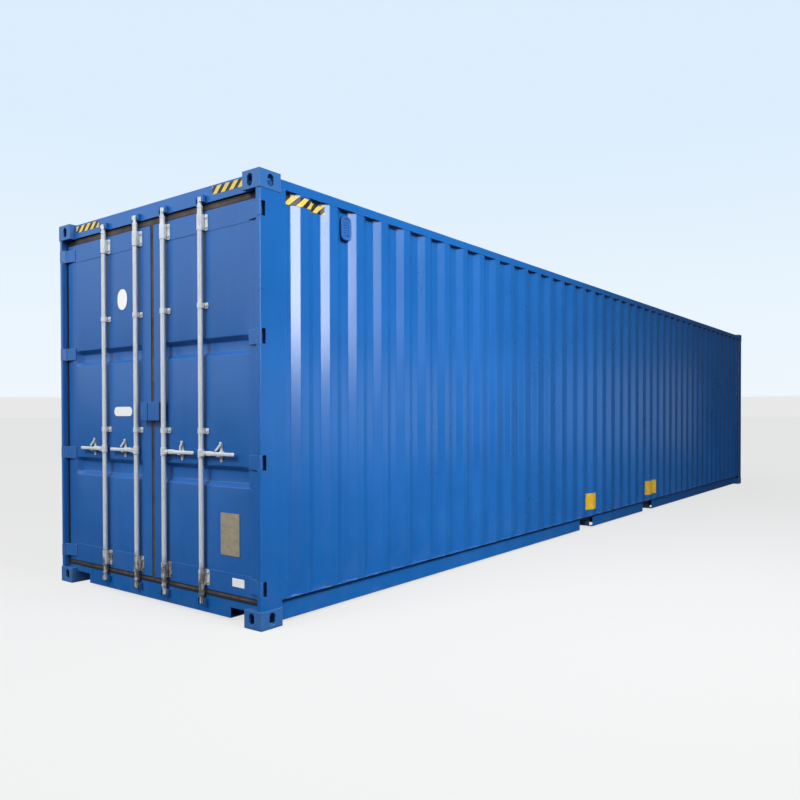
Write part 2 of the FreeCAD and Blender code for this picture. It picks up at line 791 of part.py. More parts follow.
def cross_members():
    """Channels at even pitch, none in a fork pocket, and short ones beside the tunnel."""
    full = (from_right("bottom_rail_flange"), from_left("bottom_rail_flange"))
    beside = "tunnel_width / 2 + member_wall"
    short = [(from_right("bottom_rail_flange"), f"-({beside})"), (beside, from_left("bottom_rail_flange"))]
    pocket_half = number("pocket_width / 2 + pocket_wall")
    pockets = [number(pocket_middle(index)) for index in (0, 1)]
    flange = number("member_flange")
    last = number(from_front("casting_length")) - flange
    tunnel_start = number(from_front("tunnel_length"))
    members = []
    index = 0
    while True:
        place = from_rear(f"rear_post_length + ({index} + 0.5) * member_pitch")
        rear_face = number(place)
        if rear_face > last:
            break
        blocked = any(middle - pocket_half - flange < rear_face < middle + pocket_half for middle in pockets)
        astride = tunnel_start - flange < rear_face < tunnel_start
        if not blocked and not astride:
            beyond = rear_face >= tunnel_start
            for side, y in enumerate(short if beyond else [full]):
                members.append(cross_member(f"member_{index}_{side}", place, y))
        index += 1
    return group("cross_members_body", members)


def fork_pocket(index):
    """A tunnel through the underframe, open below, in line with the rail notches."""
    middle = pocket_middle(index)
    y = (from_right("bottom_rail_flange"), from_left("bottom_rail_flange"))
    near = f"{middle} - pocket_width / 2"
    far = f"{middle} + pocket_width / 2"
    z = ("member_bottom", "floor_top - floor_thickness")
    return fuse(f"fork_pocket_{index}_body", [
        box(f"pocket_near_{index}", (f"{near} - pocket_wall", near), y, z),
        box(f"pocket_far_{index}", (far, f"{far} + pocket_wall"), y, z),
        box(f"pocket_top_{index}", (f"{near} - pocket_wall", f"{far} + pocket_wall"), y,
            ("pocket_clear_top", "floor_top - floor_thickness"))])


def tunnel():
    """The gooseneck recess under the front of the floor."""
    x = (from_front("tunnel_length"), from_front("post_inset + front_rail_depth"))
    half = "tunnel_width / 2"
    outer = f"{half} + member_wall"
    return fuse("tunnel_body", [
        box("tunnel_roof", x, (f"-({outer})", outer), ("tunnel_clear", "floor_top - floor_thickness")),
        box("tunnel_right", x, (f"-({outer})", f"-({half})"), ("member_bottom", "floor_top - floor_thickness")),
        box("tunnel_left", x, (half, outer), ("member_bottom", "floor_top - floor_thickness"))])


def floor_boards():
    return box("floor_boards", (from_rear("rear_post_length"), from_front("post_inset + front_rail_depth")),
               (from_right("bottom_rail_flange"), from_left("bottom_rail_flange")),
               ("floor_top - floor_thickness", "floor_top"))


# ---------------------------------------------------------------- ventilator

def ventilator():
    """A moulded cover standing in one recess of the side wall, narrowed towards its back."""
    wave = ("(((box_length - rear_post_length - front_post_length) - side_end_flat) / side_count)")
    flat = f"({wave} - side_crest - 2 * side_slope)"
    middle = f"(rear_post_length + vent_corrugation * {wave} + {flat} / 2)"
    trough = "skin_inset + side_depth"
    near = f"{middle} - vent_width / 2"
    far = f"{middle} + vent_width / 2"
    loop = [(near, "vent_face"), (far, "vent_face"), (far, "vent_seat"), (f"{middle} + vent_back_width / 2", trough),
            (f"{middle} - vent_back_width / 2", trough), (near, "vent_seat")]
    plan = [(from_rear(depth), from_right(inset)) for depth, inset in loop]
    return profile_bar("vent_body", "XY", [plan], ("vent_bottom", "vent_top"))


# ---------------------------------------------------------------- door leaf

def leaf_x(depth, thickness):
    """Two planes in the leaf, measured in from its outer face."""
    return (from_rear(f"leaf_face + {depth}"), from_rear(f"leaf_face + {depth} + {thickness}"))


LEAF_INNER = "box_width / 2 - leaf_half_gap"


def tube(name, x, y, z, along):
    """A rectangular hollow section, open at both ends of its long axis."""
    shell = box(f"{name}_outer", x, y, z)
    ends = {"x": x, "y": y, "z": z}
    hollow = {}
    for axis, (low, high) in ends.items():
        if axis == along:
            hollow[axis] = (f"{low} - 1", f"{high} + 1")
        else:
            hollow[axis] = (f"{low} + leaf_wall", f"{high} - leaf_wall")
    return cut(name, shell, [box(f"{name}_bore", hollow["x"], hollow["y"], hollow["z"])])


def leaf_frame():
    x = leaf_x("0", "leaf_depth")
    z = ("leaf_bottom", "leaf_top")
    outer_stile = tube("outer_stile", x, (from_right("leaf_edge"), from_right("leaf_edge + stile")), z, "z")
    inner_stile = tube("inner_stile", x, (from_right(f"{LEAF_INNER} - stile"), from_right(LEAF_INNER)), z, "z")
    between = (from_right("leaf_edge + stile"), from_right(f"{LEAF_INNER} - stile"))
    foot = tube("leaf_foot", x, between, ("leaf_bottom", "leaf_bottom + leaf_rail"), "y")
    head = tube("leaf_head", x, between, ("leaf_top - leaf_rail", "leaf_top"), "y")
    return fuse("leaf_frame_body", [outer_stile, inner_stile, foot, head])


def leaf_panel():
    """The pressed panel with two grooves across it, between stiles and rails."""
    face = "leaf_face + panel_set_back"
    deep = f"{face} + groove_depth"
    line = [(face, "leaf_bottom + leaf_rail")]
    for groove in ("lower_groove", "upper_groove"):
        line += [(face, f"{groove}_bottom"), (deep, f"{groove}_bottom + groove_slope"),
                 (deep, f"{groove}_top - groove_slope"), (face, f"{groove}_top")]
    line.append((face, "leaf_top - leaf_rail"))
    front = [(from_rear(depth), level) for depth, level in line]
    back = [(f"{depth} + sheet", level) for depth, level in reversed(front)]
    return profile_bar("leaf_panel_body", "XZ", [front + back],
                       (from_right("leaf_edge + stile"), from_right(f"{LEAF_INNER} - stile")))


def leaf_gasket():
    """The rubber seal round the leaf."""
    x = leaf_x("gasket_set_back", "gasket_depth")
    outer = box("gasket_outer", x,
                (from_right("leaf_edge - gasket_side"), from_right("box_width / 2 - gasket_half_gap")),
                ("sill_top + gasket_clear", "box_height - casting_height - gasket_clear"))
    inner = box("gasket_inner", (from_rear("0"), from_rear("jamb_depth")),
                (from_right("leaf_edge"), from_right(LEAF_INNER)), ("leaf_bottom", "leaf_top"))
    return cut("gasket_body", outer, [inner])


def hinge_blades():
    """Four cranked blades, welded to the leaf and turning on the post's pins."""
    reach = "hinge_reach"
    face = "leaf_face"
    body = doc.addObject("PartDesign::Body", "hinge_blade")
    post_edge = "post_inset + post_face"
    profile = [("hinge_in", "hinge_in - hinge_knuckle"), (post_edge, "hinge_throat"),
               ("leaf_edge - hinge_crank_lead", "hinge_crank_near"),
               ("leaf_edge + hinge_crank_run", "hinge_crank_far"), (reach, f"{face} - hinge_toe"), (reach, face),
               ("leaf_edge", face), (post_edge, "hinge_in + hinge_knuckle - 1"),
               ("hinge_in", "hinge_in + hinge_knuckle")]
    loop = [(from_rear(depth), from_right(inset)) for inset, depth in profile]
    low = f"{hinge_height(0)} - hinge_height / 2"
    pad(body, "hinge_plate", "XY", [loop], (low, f"{low} + hinge_height"))
    knuckle = round_bar("hinge_knuckle_bar", (from_rear("hinge_in"), from_right("hinge_in"), low),
                        "z", "hinge_knuckle", "hinge_height")
    bore = round_bar("hinge_knuckle_bore", (from_rear("hinge_in"), from_right("hinge_in"), f"{low} - 1"),
                     "z", "hinge_bore", "hinge_height + 2")
    blade = cut("hinge_blade_bored", fuse("hinge_blade_whole", [body, knuckle]), [bore])
    blades = []
    for index in HINGES:
        copy = doc.addObject("App::Link", f"hinge_blade_{index}")
        copy.LinkedObject = blade
        bind(copy, "Placement.Base.z", f"{index} * hinge_pitch")
        blades.append(copy)
    return group("hinge_blades_body", blades)


# ---------------------------------------------------------------- lock rods

RODS = {"inner": "inner_rod", "outer": "outer_rod"}


PANEL_FACE = "leaf_face + panel_set_back"


def saddle(name, rod, middle, height, seat):
    """A bracket on the leaf's face with a bore that a lock rod turns in; seat is that face's depth."""
    low = f"{middle} - {height} / 2"
    high = f"{middle} + {height} / 2"
    plate = box(f"{name}_plate", (from_rear("leaf_face - bracket_plate"), from_rear(seat)),
                (f"-{rod} - bracket_half", f"-{rod} + bracket_half"), (low, high))
    block = box(f"{name}_block", (from_rear("rod_depth"), from_rear(seat)),
                (f"-{rod} - saddle_radius", f"-{rod} + saddle_radius"), (low, high))
    cap = round_bar(f"{name}_cap", (from_rear("rod_depth"), f"-{rod}", low), "z", "saddle_radius", height)
    bore = round_bar(f"{name}_bore", (from_rear("rod_depth"), f"-{rod}", f"{low} - 1"),
                     "z", "rod_bore", f"{height} + 2")
    return cut(name, fuse(f"{name}_whole", [plate, block, cap]), [bore])


def rod_brackets():
    pieces = []
    for title, rod in RODS.items():
        for middle in ("lower_bracket", "upper_bracket"):
            pieces.append(saddle(f"{title}_{middle}", rod, middle, "bracket_height", "leaf_face"))
        for middle in ("lower_guide", "upper_guide"):
            pieces.append(saddle(f"{title}_{middle}", rod, middle, "guide_height", PANEL_FACE))
    return group("rod_brackets_body", pieces)


def lock_rod(title):
    """A rod with a cam at each end and a forked hub that carries the handle."""
    rod = RODS[title]
    x = from_rear("rod_depth")
    y = f"-{rod}"
    bar = round_bar(f"{title}_rod_bar", (x, y, "rod_bottom + cam_seat"), "z", "rod_radius",
                    "rod_top - rod_bottom - 2 * cam_seat")
    neck = round_bar(f"{title}_rod_neck", (x, y, "rod_bottom"), "z", "rod_neck", "rod_top - rod_bottom")
    pieces = [bar, neck]
    cams = (("lower", ("rod_bottom", "rod_bottom + cam_height")), ("upper", ("rod_top - cam_height", "rod_top")))
    for end, z in cams:
        pieces.append(box(f"{title}_{end}_cam",
                          (from_rear("rod_depth - rod_neck"), from_rear("rod_depth + cam_back")),
                          (f"{y} - cam_lobe", y), z))
    hub_low = "handle_rise - hub_height / 2"
    pieces.append(round_bar(f"{title}_hub", (x, y, hub_low), "z", "hub_radius", "hub_height"))
    half = "(handle_depth / 2 + ear_gap)"
    for face, x_ends in (("back", (f"{half}", f"{half} + ear_wall")), ("front", (f"-{half} - ear_wall", f"-{half}"))):
        pieces.append(box(f"{title}_ear_{face}",
                          tuple(from_rear(f"rod_depth + ({end})") for end in x_ends),
                          (f"{y} - handle_pivot - ear_height / 2", y),
                          ("handle_rise - ear_height / 2", "handle_rise + ear_height / 2")))
    pieces.append(round_bar(f"{title}_pivot",
                            (from_rear(f"rod_depth - {half} - ear_wall"), f"{y} - handle_pivot", "handle_rise"),
                            "x", "handle_pin", f"2 * ({half} + ear_wall)"))
    return fuse(f"{title}_rod_body", pieces)


def handle(title):
    """The lever: a round head on the pivot, a deep neck and a flat bar."""
    rod = RODS[title]
    pivot = f"(-{rod} - handle_pivot)"
    tip = f"(-{rod} - handle_length)"
    rise = "handle_rise"
    body = doc.addObject("PartDesign::Body", f"{title}_handle_lever")
    upper = f"{rise} + handle_bar / 2"
    lower = f"{rise} - handle_bar / 2"
    shoulder = f"{pivot} - handle_shoulder"
    straight = f"{pivot} - handle_straight"
    loop = [(pivot, f"{rise} - handle_head"), (pivot, f"{rise} + handle_head"), (shoulder, f"{upper} + handle_taper"),
            (straight, upper), (tip, upper), (tip, lower), (straight, lower), (shoulder, f"{lower} - handle_taper")]
    x = (from_rear("rod_depth - handle_depth / 2"), from_rear("rod_depth + handle_depth / 2"))
    pad(body, f"{title}_lever_pad", "YZ", [loop], x)
    head = round_bar(f"{title}_handle_head", (x[0], pivot, rise), "x", "handle_head", "handle_depth")
    bore = round_bar(f"{title}_handle_bore", (f"{x[0]} - 1", pivot, rise), "x", "handle_bore", "handle_depth + 2")
    return cut(f"{title}_handle_body", fuse(f"{title}_handle_whole", [body, head]), [bore])


def retainer(title):
    """A plate on the leaf with a seat under the handle and a pin for the catch."""
    middle = f"(-{RODS[title]} - retainer_offset)"
    y = (f"{middle} - retainer_half", f"{middle} + retainer_half")
    plate = box(f"{title}_retainer_plate", (from_rear("leaf_face - retainer_plate"), from_rear(PANEL_FACE)), y,
                ("retainer_bottom", "retainer_top"))
    seat_top = "handle_rise - handle_bar / 2 - seat_play"
    seat = box(f"{title}_retainer_seat", (from_rear("rod_depth - handle_depth / 2"), from_rear("leaf_face")), y,
               (f"{seat_top} - seat_wall", seat_top))
    pin = round_bar(f"{title}_catch_pin",
                    (from_rear("leaf_face - retainer_plate - catch_wall - catch_pin_proud"), middle, "catch_rise"),
                    "x", "catch_pin", "catch_wall + 2 * catch_pin_proud")
    return fuse(f"{title}_retainer_body", [plate, seat, pin])


def catch(title):
    """A swinging plate behind the handle, hung on the retainer's pin."""
    middle = f"(-{RODS[title]} - retainer_offset)"
    near = "leaf_face - retainer_plate - catch_clear"
    x = (from_rear(f"{near} - catch_wall"), from_rear(near))
    eye = round_bar(f"{title}_catch_eye", (x[0], middle, "catch_rise"), "x", "catch_eye", "catch_wall")
    arm = box(f"{title}_catch_arm", x, (f"{middle} - catch_width / 2", f"{middle} + catch_width / 2"),
              ("catch_rise - catch_drop", "catch_rise"))
    bore = round_bar(f"{title}_catch_bore", (f"{x[0]} - 1", middle, "catch_rise"), "x", "catch_bore",
                     "catch_wall + 2")
    return cut(f"{title}_catch_body", fuse(f"{title}_catch_whole", [eye, arm]), [bore])


def keeper(name, rod, low):
    """An open-fronted bracket that the cam of a closed rod stands in."""
    y = f"-{rod}"
    z = (low, f"{low} + keeper_height")
    plate = box(f"{name}_plate", (from_rear("frame_face - keeper_plate"), from_rear("frame_face")),
                (f"{y} - keeper_half - keeper_plate", f"{y} + keeper_half + keeper_plate"), z)
    cheeks = []
    for side, ends in (("outer", (f"{y} - keeper_half - keeper_plate", f"{y} - keeper_half")),
                       ("inner", (f"{y} + keeper_half", f"{y} + keeper_half + keeper_plate"))):
        cheeks.append(box(f"{name}_{side}", (from_rear("frame_face - keeper_reach"), from_rear("frame_face")),
                          ends, z))
    return fuse(name, [plate] + cheeks)


def keepers(end, low):
    pieces = []
    for title, rod in RODS.items():
        right = keeper(f"{end}_keeper_{title}", rod, low)
        pieces += [right, mirror(f"{end}_keeper_{title}_left", right)]
    return group(f"keepers_{end}_body", pieces)


# ---------------------------------------------------------------- lock box

def lock_box(name, y):
    """One half of the padlock housing, open below so that a lock can be reached."""
    x = (from_rear("lock_box_face"), from_rear("leaf_face"))
    z = ("lock_box_bottom", "lock_box_top")
    shell = box(f"{name}_shell", x, y, z)
    hollow = box(f"{name}_hollow", (f"{x[0]} + leaf_wall", x[1]),
                 (f"{y[0]} + leaf_wall", f"{y[1]} - leaf_wall"), ("lock_box_bottom - 1", "lock_box_top - leaf_wall"))
    return cut(name, shell, [hollow])


# ---------------------------------------------------------------- the container

castings()
both_sides("rear_post", rear_post())
both_sides("front_post", front_post())
keep(door_header(), "door_header")
keep(door_sill(), "door_sill")
keep(front_top_rail(), "front_top_rail")
keep(front_bottom_rail(), "front_bottom_rail")
both_sides("side_top_rail", side_top_rail())
both_sides("side_bottom_rail", side_bottom_rail())
both_sides("side_wall", side_wall())
keep(end_wall(), "end_wall")
keep(roof(), "roof")
keep(floor_boards(), "floor_boards")
keep(cross_members(), "cross_members")
keep(fork_pocket(0), "fork_pocket_rear")
keep(fork_pocket(1), "fork_pocket_front")
keep(tunnel(), "gooseneck_tunnel")
both_sides("ventilator", ventilator())
keep(keepers("lower", "rod_bottom - keeper_overhang"), "cam_keepers_lower")
keep(keepers("upper", "rod_top + keeper_overhang - keeper_height"), "cam_keepers_upper")
both_sides("leaf_frame", leaf_frame())
both_sides("leaf_panel", leaf_panel())
both_sides("leaf_gasket", leaf_gasket())
both_sides("hinge_blades", hinge_blades())
both_sides("rod_brackets", rod_brackets())
both_sides("handle_retainers", group("retainers_body", [retainer(title) for title in RODS]))
for title in RODS:
    both_sides(f"lock_rod_{title}", lock_rod(title))
    both_sides(f"handle_{title}", handle(title))
    both_sides(f"catch_{title}", catch(title))
keep(lock_box("lock_box_right_body", ("-lock_box_right", "-lock_box_gap")), "lock_box_right")
keep(lock_box("lock_box_left_body", ("lock_box_gap", "lock_box_left")), "lock_box_left")

# ---------------------------------------------------------------- checks and files

doc.recompute()
for item in doc.Objects:
    if "Invalid" in item.State or "Error" in item.State:
        raise RuntimeError(f"{item.Name} failed: {item.State}")
for item in SUB_PARTS:
    shape = item.Shape
    if shape.isNull() or not shape.isValid() or not shape.Solids:
        raise RuntimeError(f"{item.Label} has no sound shape")

os.makedirs("parts", exist_ok=True)
for item in SUB_PARTS:
    item.Shape.exportStep(f"parts/{item.Label}.step")
print(f"{len(SUB_PARTS)} sub-parts written")
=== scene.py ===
# %% [markdown]
# # A forty-foot high-cube container
#
# A freight container is a steel box made to one worldwide size. Four posts and eight cast corner
# blocks carry the load, pressed sheets close the walls, and two doors fill the rear end.
# The exact solids are already made, so this lesson is about looks: rounding what is too sharp,
# building the forged door gear, and giving each surface its paint, zinc, rubber or timber.

import json
import math

import bmesh
import bpy
from mathutils import Matrix, Vector, noise


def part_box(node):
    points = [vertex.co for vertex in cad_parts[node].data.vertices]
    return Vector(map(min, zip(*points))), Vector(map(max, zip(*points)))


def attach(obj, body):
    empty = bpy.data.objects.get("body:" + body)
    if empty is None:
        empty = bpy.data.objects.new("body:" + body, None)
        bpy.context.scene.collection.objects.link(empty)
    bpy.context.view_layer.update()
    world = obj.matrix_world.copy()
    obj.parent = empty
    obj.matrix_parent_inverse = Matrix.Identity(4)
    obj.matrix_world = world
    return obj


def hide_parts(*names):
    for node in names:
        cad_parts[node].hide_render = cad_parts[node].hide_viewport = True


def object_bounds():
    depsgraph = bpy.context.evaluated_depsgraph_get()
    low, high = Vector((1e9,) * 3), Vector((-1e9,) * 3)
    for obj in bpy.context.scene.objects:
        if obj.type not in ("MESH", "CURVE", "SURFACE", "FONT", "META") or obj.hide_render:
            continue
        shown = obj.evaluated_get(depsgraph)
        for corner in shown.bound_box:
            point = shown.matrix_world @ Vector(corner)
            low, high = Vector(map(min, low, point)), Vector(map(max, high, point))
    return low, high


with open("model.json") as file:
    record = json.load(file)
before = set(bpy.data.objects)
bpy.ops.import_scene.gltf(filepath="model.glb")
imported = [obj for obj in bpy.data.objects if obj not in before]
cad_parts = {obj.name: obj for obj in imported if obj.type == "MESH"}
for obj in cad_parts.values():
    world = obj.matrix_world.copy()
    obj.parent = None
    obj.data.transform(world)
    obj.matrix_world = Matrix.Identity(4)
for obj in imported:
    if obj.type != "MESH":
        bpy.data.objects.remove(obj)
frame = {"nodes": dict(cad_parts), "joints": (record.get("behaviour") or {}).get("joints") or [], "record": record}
cad_low, cad_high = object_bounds()
record = frame["record"]
body_of_node = {node: body for body, members in record["behaviour"]["bodies"].items() for node in members}
joint_place = {joint["name"]: Vector(joint["pos_m"]) for joint in frame["joints"]}

# %% [markdown]
# ## Finding places
#
# Everything is placed from the solids. The door end is the plane of lowest x, so a place on the
# doors is given as a depth behind that plane. The two sides are mirror images, so most pieces are
# worked out for one hand and made twice with a sign.

# %% Places
REAR = cad_low.x
FRONT = cad_high.x
RIGHT = cad_low.y
HANDS = {"right": -1.0, "left": 1.0}


def behind(depth):
    """The x of a place on the door end, as a depth behind its outermost plane."""
    return REAR + depth


rod_axis = {(row, hand): joint_place[f"rod_{row}_{hand}_turn"] for row in ("inner", "outer") for hand in HANDS}
print("lock rods stand at y =", sorted(round(axis.y, 3) for axis in rod_axis.values()))

# %% [markdown]
# ## Node helpers
#
# A finish is a small network of nodes. Writing `node(tree, kind, inputs)` keeps each network to a
# few lines: a value goes on a socket, and another node's output is wired to it.

# %% Helpers for finishes


def node(tree, kind, inputs=None, **settings):
    """Adds one node, sets its properties, and fills or wires its sockets."""
    made = tree.nodes.new(f"ShaderNode{kind}")
    for name, value in settings.items():
        setattr(made, name, value)
    for socket, value in (inputs or {}).items():
        if isinstance(value, bpy.types.NodeSocket):
            tree.links.new(value, made.inputs[socket])
        else:
            made.inputs[socket].default_value = value
    return made


def new_finish(name, **shader_values):
    """A material with its main shader's plain numbers set on the shader itself."""
    finish = bpy.data.materials.new(name)
    finish.use_nodes = True
    tree = finish.node_tree
    shader = tree.nodes["Principled BSDF"]
    for socket, value in shader_values.items():
        shader.inputs[socket.replace("_", " ")].default_value = value
    return finish, tree, shader


def place_of(tree):
    """Coordinates in metres that stay with the piece."""
    return node(tree, "TexCoord").outputs["Object"]


def grain(tree, place, scale, detail=4.0, roughness=0.55, stretch=None):
    """Cloudy noise from 0 to 1; stretch squeezes it along x, y and z."""
    if stretch:
        place = node(tree, "Mapping", {"Vector": place, "Scale": stretch}).outputs[0]
    cloud = node(tree, "TexNoise", {"Vector": place, "Scale": scale, "Detail": detail, "Roughness": roughness})
    return cloud.outputs[0]


def remap(tree, value, low, high, to_low=0.0, to_high=1.0):
    """Stretches a range of values onto another, clamped at both ends."""
    made = node(tree, "MapRange", {"Value": value, "From Min": low, "From Max": high,
                                   "To Min": to_low, "To Max": to_high})
    return made.outputs[0]


def maths(tree, operation, first, second=0.0):
    return node(tree, "Math", {0: first, 1: second}, operation=operation).outputs[0]


def mixed(tree, factor, first, second, blend="MIX"):
    """One colour over another, by a factor."""
    made = node(tree, "Mix", {0: factor, 6: first, 7: second}, data_type="RGBA", blend_type=blend)
    return made.outputs[2]


def height_of(tree, place):
    return node(tree, "SeparateXYZ", {0: place}).outputs["Z"]


def bumped(tree, shader, height, distance, strength=1.0, under=None):
    inputs = {"Height": height, "Distance": distance, "Strength": strength}
    if under:
        inputs["Normal"] = under
    bump = node(tree, "Bump", inputs)
    tree.links.new(bump.outputs[0], shader.inputs["Normal"])
    return bump.outputs[0]


def rgb(red, green, blue):
    return (red, green, blue, 1.0)


print("finish helpers ready")

# %% [markdown]
# ## Paint
#
# Marine paint is sprayed over blasted steel. Up close it has a fine orange-peel skin. From a step
# away it shows chalky clouds, faint rain streaks that run downward, and road dust near the ground.
# A noise squeezed along z gives the streaks, and the height above the ground drives the dust.
# Where a piece keeps hard edges, the Bevel node bends the shading round them and also finds them,
# and the paint there is mixed paler as a painted highlight.

# %% The painted finishes


def paint(name, colour, gloss=0.3, chalk=0.25, dust=0.12, edge=0.0, peel=0.00025, coat=0.25):
    finish, tree, shader = new_finish(name, Coat_Weight=coat, Coat_Roughness=0.2, Specular_IOR_Level=0.5)
    place = place_of(tree)
    clouds = grain(tree, place, 1.3, 5.0, 0.6)
    streaks = grain(tree, place, 1.0, 4.0, 0.65, stretch=(11.0, 11.0, 0.55))
    deep = rgb(*(channel * 0.86 for channel in colour))
    pale = rgb(*(channel * 0.8 + 0.2 * tint for channel, tint in zip(colour, (0.05, 0.28, 0.66))))
    tone = mixed(tree, remap(tree, clouds, 0.35, 0.68), deep, rgb(*colour))
    tone = mixed(tree, remap(tree, streaks, 0.5, 0.8, 0.0, chalk), tone, pale)
    low_down = remap(tree, height_of(tree, place), 0.02, 0.75, 1.0, 0.0)
    speckle = remap(tree, grain(tree, place, 7.0, 7.0, 0.7), 0.45, 0.75)
    dusty = maths(tree, "MULTIPLY", maths(tree, "MULTIPLY", low_down, speckle), dust)
    tone = mixed(tree, dusty, tone, rgb(0.22, 0.24, 0.27))
    under = None
    if edge:
        bevel = node(tree, "Bevel", {"Radius": 0.004}, samples=4).outputs[0]
        true_normal = node(tree, "NewGeometry").outputs["Normal"]
        facing = node(tree, "VectorMath", {0: bevel, 1: true_normal}, operation="DOT_PRODUCT").outputs["Value"]
        # paler paint along every hard edge: a painted highlight
        rim = remap(tree, facing, 0.995, 0.9)
        tone = mixed(tree, maths(tree, "MULTIPLY", rim, edge), tone, rgb(0.30, 0.42, 0.62))
        under = bevel
    # darker navy paint in creases and corners, found by ambient occlusion: painted shade
    crease_shade = node(tree, "AmbientOcclusion", {"Distance": 0.05}, samples=4).outputs["AO"]
    tone = mixed(tree, remap(tree, crease_shade, 0.62, 0.2, 0.0, 0.55), tone, rgb(0.006, 0.020, 0.055))
    tree.links.new(tone, shader.inputs["Base Color"])
    rough = remap(tree, clouds, 0.3, 0.7, gloss - 0.05, gloss + 0.07)
    tree.links.new(rough, shader.inputs["Roughness"])
    bumped(tree, shader, grain(tree, place, 260.0, 2.0), peel, 0.6, under)
    return finish


BLUE = (0.0095, 0.128, 0.44)
wall_paint = paint("wall_paint", BLUE, coat=0.7)
frame_paint = paint("frame_paint", BLUE, edge=0.22)
door_paint = paint("door_paint", (0.016, 0.128, 0.43), gloss=0.36, chalk=0.3, edge=0.2)
hinge_paint = paint("hinge_paint", (0.019, 0.135, 0.44), gloss=0.36, chalk=0.3, edge=0.4)
cast_paint = paint("cast_paint", (0.030, 0.150, 0.43), gloss=0.42, chalk=0.35, dust=0.2, edge=0.4, peel=0.0012)
under_paint = paint("under_paint", (0.020, 0.060, 0.16), gloss=0.6, chalk=0.3, dust=0.9, coat=0.0)
vent_finish = paint("vent_moulding", (0.014, 0.120, 0.42), gloss=0.45, dust=0.0, edge=0.25, coat=0.0)
print("paints:", [finish.name for finish in bpy.data.materials])

# %% [markdown]
# ## Zinc, rubber, timber and film
#
# The lock gear is hot-dip galvanised: zinc freezes in flat crystals, which a Voronoi texture draws
# as cells of slightly different grey, and it dulls with white bloom and dirt. The door seal is
# black rubber gone grey-brown with dust. The floor is oiled plywood laid in sheets.
# The reflective films are plain coloured sheets with a little grime.

# %% Zinc


def zinc(name, brightness=1.0, dirt=0.35, grease=0.0):
    """Galvanised steel; grease stains it brown near the ground, round the lower cams."""
    finish, tree, shader = new_finish(name, Metallic=0.15, Specular_IOR_Level=0.5)
    place = place_of(tree)
    crystals = node(tree, "TexVoronoi", {"Vector": place, "Scale": 160.0}).outputs["Color"]
    spangle = node(tree, "SeparateColor", {0: crystals}).outputs[0]
    bright = rgb(0.80 * brightness, 0.85 * brightness, 0.88 * brightness)
    dull = rgb(0.72 * brightness, 0.77 * brightness, 0.81 * brightness)
    tone = mixed(tree, spangle, dull, bright)
    runs = grain(tree, place, 1.0, 5.0, 0.65, stretch=(26.0, 26.0, 3.0))
    tone = mixed(tree, remap(tree, runs, 0.5, 0.78, 0.0, 0.12), tone, rgb(0.52, 0.55, 0.57))
    grime = remap(tree, grain(tree, place, 16.0, 6.0, 0.7), 0.5, 0.78, 0.0, dirt)
    tone = mixed(tree, grime, tone, rgb(0.20, 0.18, 0.15))
    if grease:
        low_down = remap(tree, height_of(tree, place), 0.30, 0.37, 1.0, 0.0)
        stain = remap(tree, grain(tree, place, 34.0, 6.0, 0.7, stretch=(1.0, 1.0, 0.35)), 0.38, 0.56)
        tone = mixed(tree, maths(tree, "MULTIPLY", maths(tree, "MULTIPLY", low_down, stain), grease), tone,
                     rgb(0.085, 0.058, 0.036))
    # darker zinc in creases and corners, found by ambient occlusion: painted shade
    crease_shade = node(tree, "AmbientOcclusion", {"Distance": 0.02}, samples=4, only_local=False).outputs["AO"]
    tone = mixed(tree, remap(tree, crease_shade, 0.75, 0.25, 0.0, 0.6), tone, rgb(0.07, 0.065, 0.06))
    tree.links.new(tone, shader.inputs["Base Color"])
    tree.links.new(remap(tree, spangle, 0.0, 1.0, 0.38, 0.5), shader.inputs["Roughness"])
    bevel = node(tree, "Bevel", {"Radius": 0.0015}, samples=4).outputs[0]
    bumped(tree, shader, grain(tree, place, 120.0, 3.0), 0.0002, 0.4, bevel)
    return finish


rod_zinc = zinc("rod_zinc", 0.86, 0.16, grease=0.9)
forged_zinc = zinc("forged_zinc", 0.92, 0.4, grease=0.9)

# %% Rubber, timber


def dusty_rubber(name):
    finish, tree, shader = new_finish(name, Specular_IOR_Level=0.3)
    place = place_of(tree)
    bloom = remap(tree, grain(tree, place, 9.0, 6.0, 0.65), 0.35, 0.7)
    tree.links.new(mixed(tree, bloom, rgb(0.045, 0.037, 0.036), rgb(0.12, 0.098, 0.09)), shader.inputs["Base Color"])
    tree.links.new(remap(tree, bloom, 0.0, 1.0, 0.6, 0.85), shader.inputs["Roughness"])
    bumped(tree, shader, grain(tree, place, 90.0, 3.0), 0.0006, 0.5)
    return finish


def plywood(name):
    finish, tree, shader = new_finish(name, Specular_IOR_Level=0.35)
    place = place_of(tree)
    sheets = node(tree, "TexBrick", {"Vector": place, "Color1": rgb(0.30, 0.17, 0.085), "Color2": rgb(0.38, 0.23, 0.12),
                                     "Mortar": rgb(0.04, 0.025, 0.015), "Scale": 1.0, "Mortar Size": 0.003,
                                     "Brick Width": 2.4, "Row Height": 1.14}, offset=0.0)
    figure = grain(tree, place, 3.0, 7.0, 0.7, stretch=(0.7, 16.0, 1.0))
    tone = mixed(tree, remap(tree, figure, 0.4, 0.7, 0.0, 0.55), sheets.outputs["Color"], rgb(0.17, 0.085, 0.04))
    scuffs = remap(tree, grain(tree, place, 2.2, 8.0, 0.75), 0.52, 0.7, 0.0, 0.5)
    tone = mixed(tree, scuffs, tone, rgb(0.42, 0.34, 0.25))
    tree.links.new(tone, shader.inputs["Base Color"])
    tree.links.new(remap(tree, figure, 0.3, 0.7, 0.45, 0.7), shader.inputs["Roughness"])
    bumped(tree, shader, figure, 0.0008, 0.5)
    return finish


seal_rubber = dusty_rubber("seal_rubber")
floor_ply = plywood("floor_plywood")

# %% Films and plates


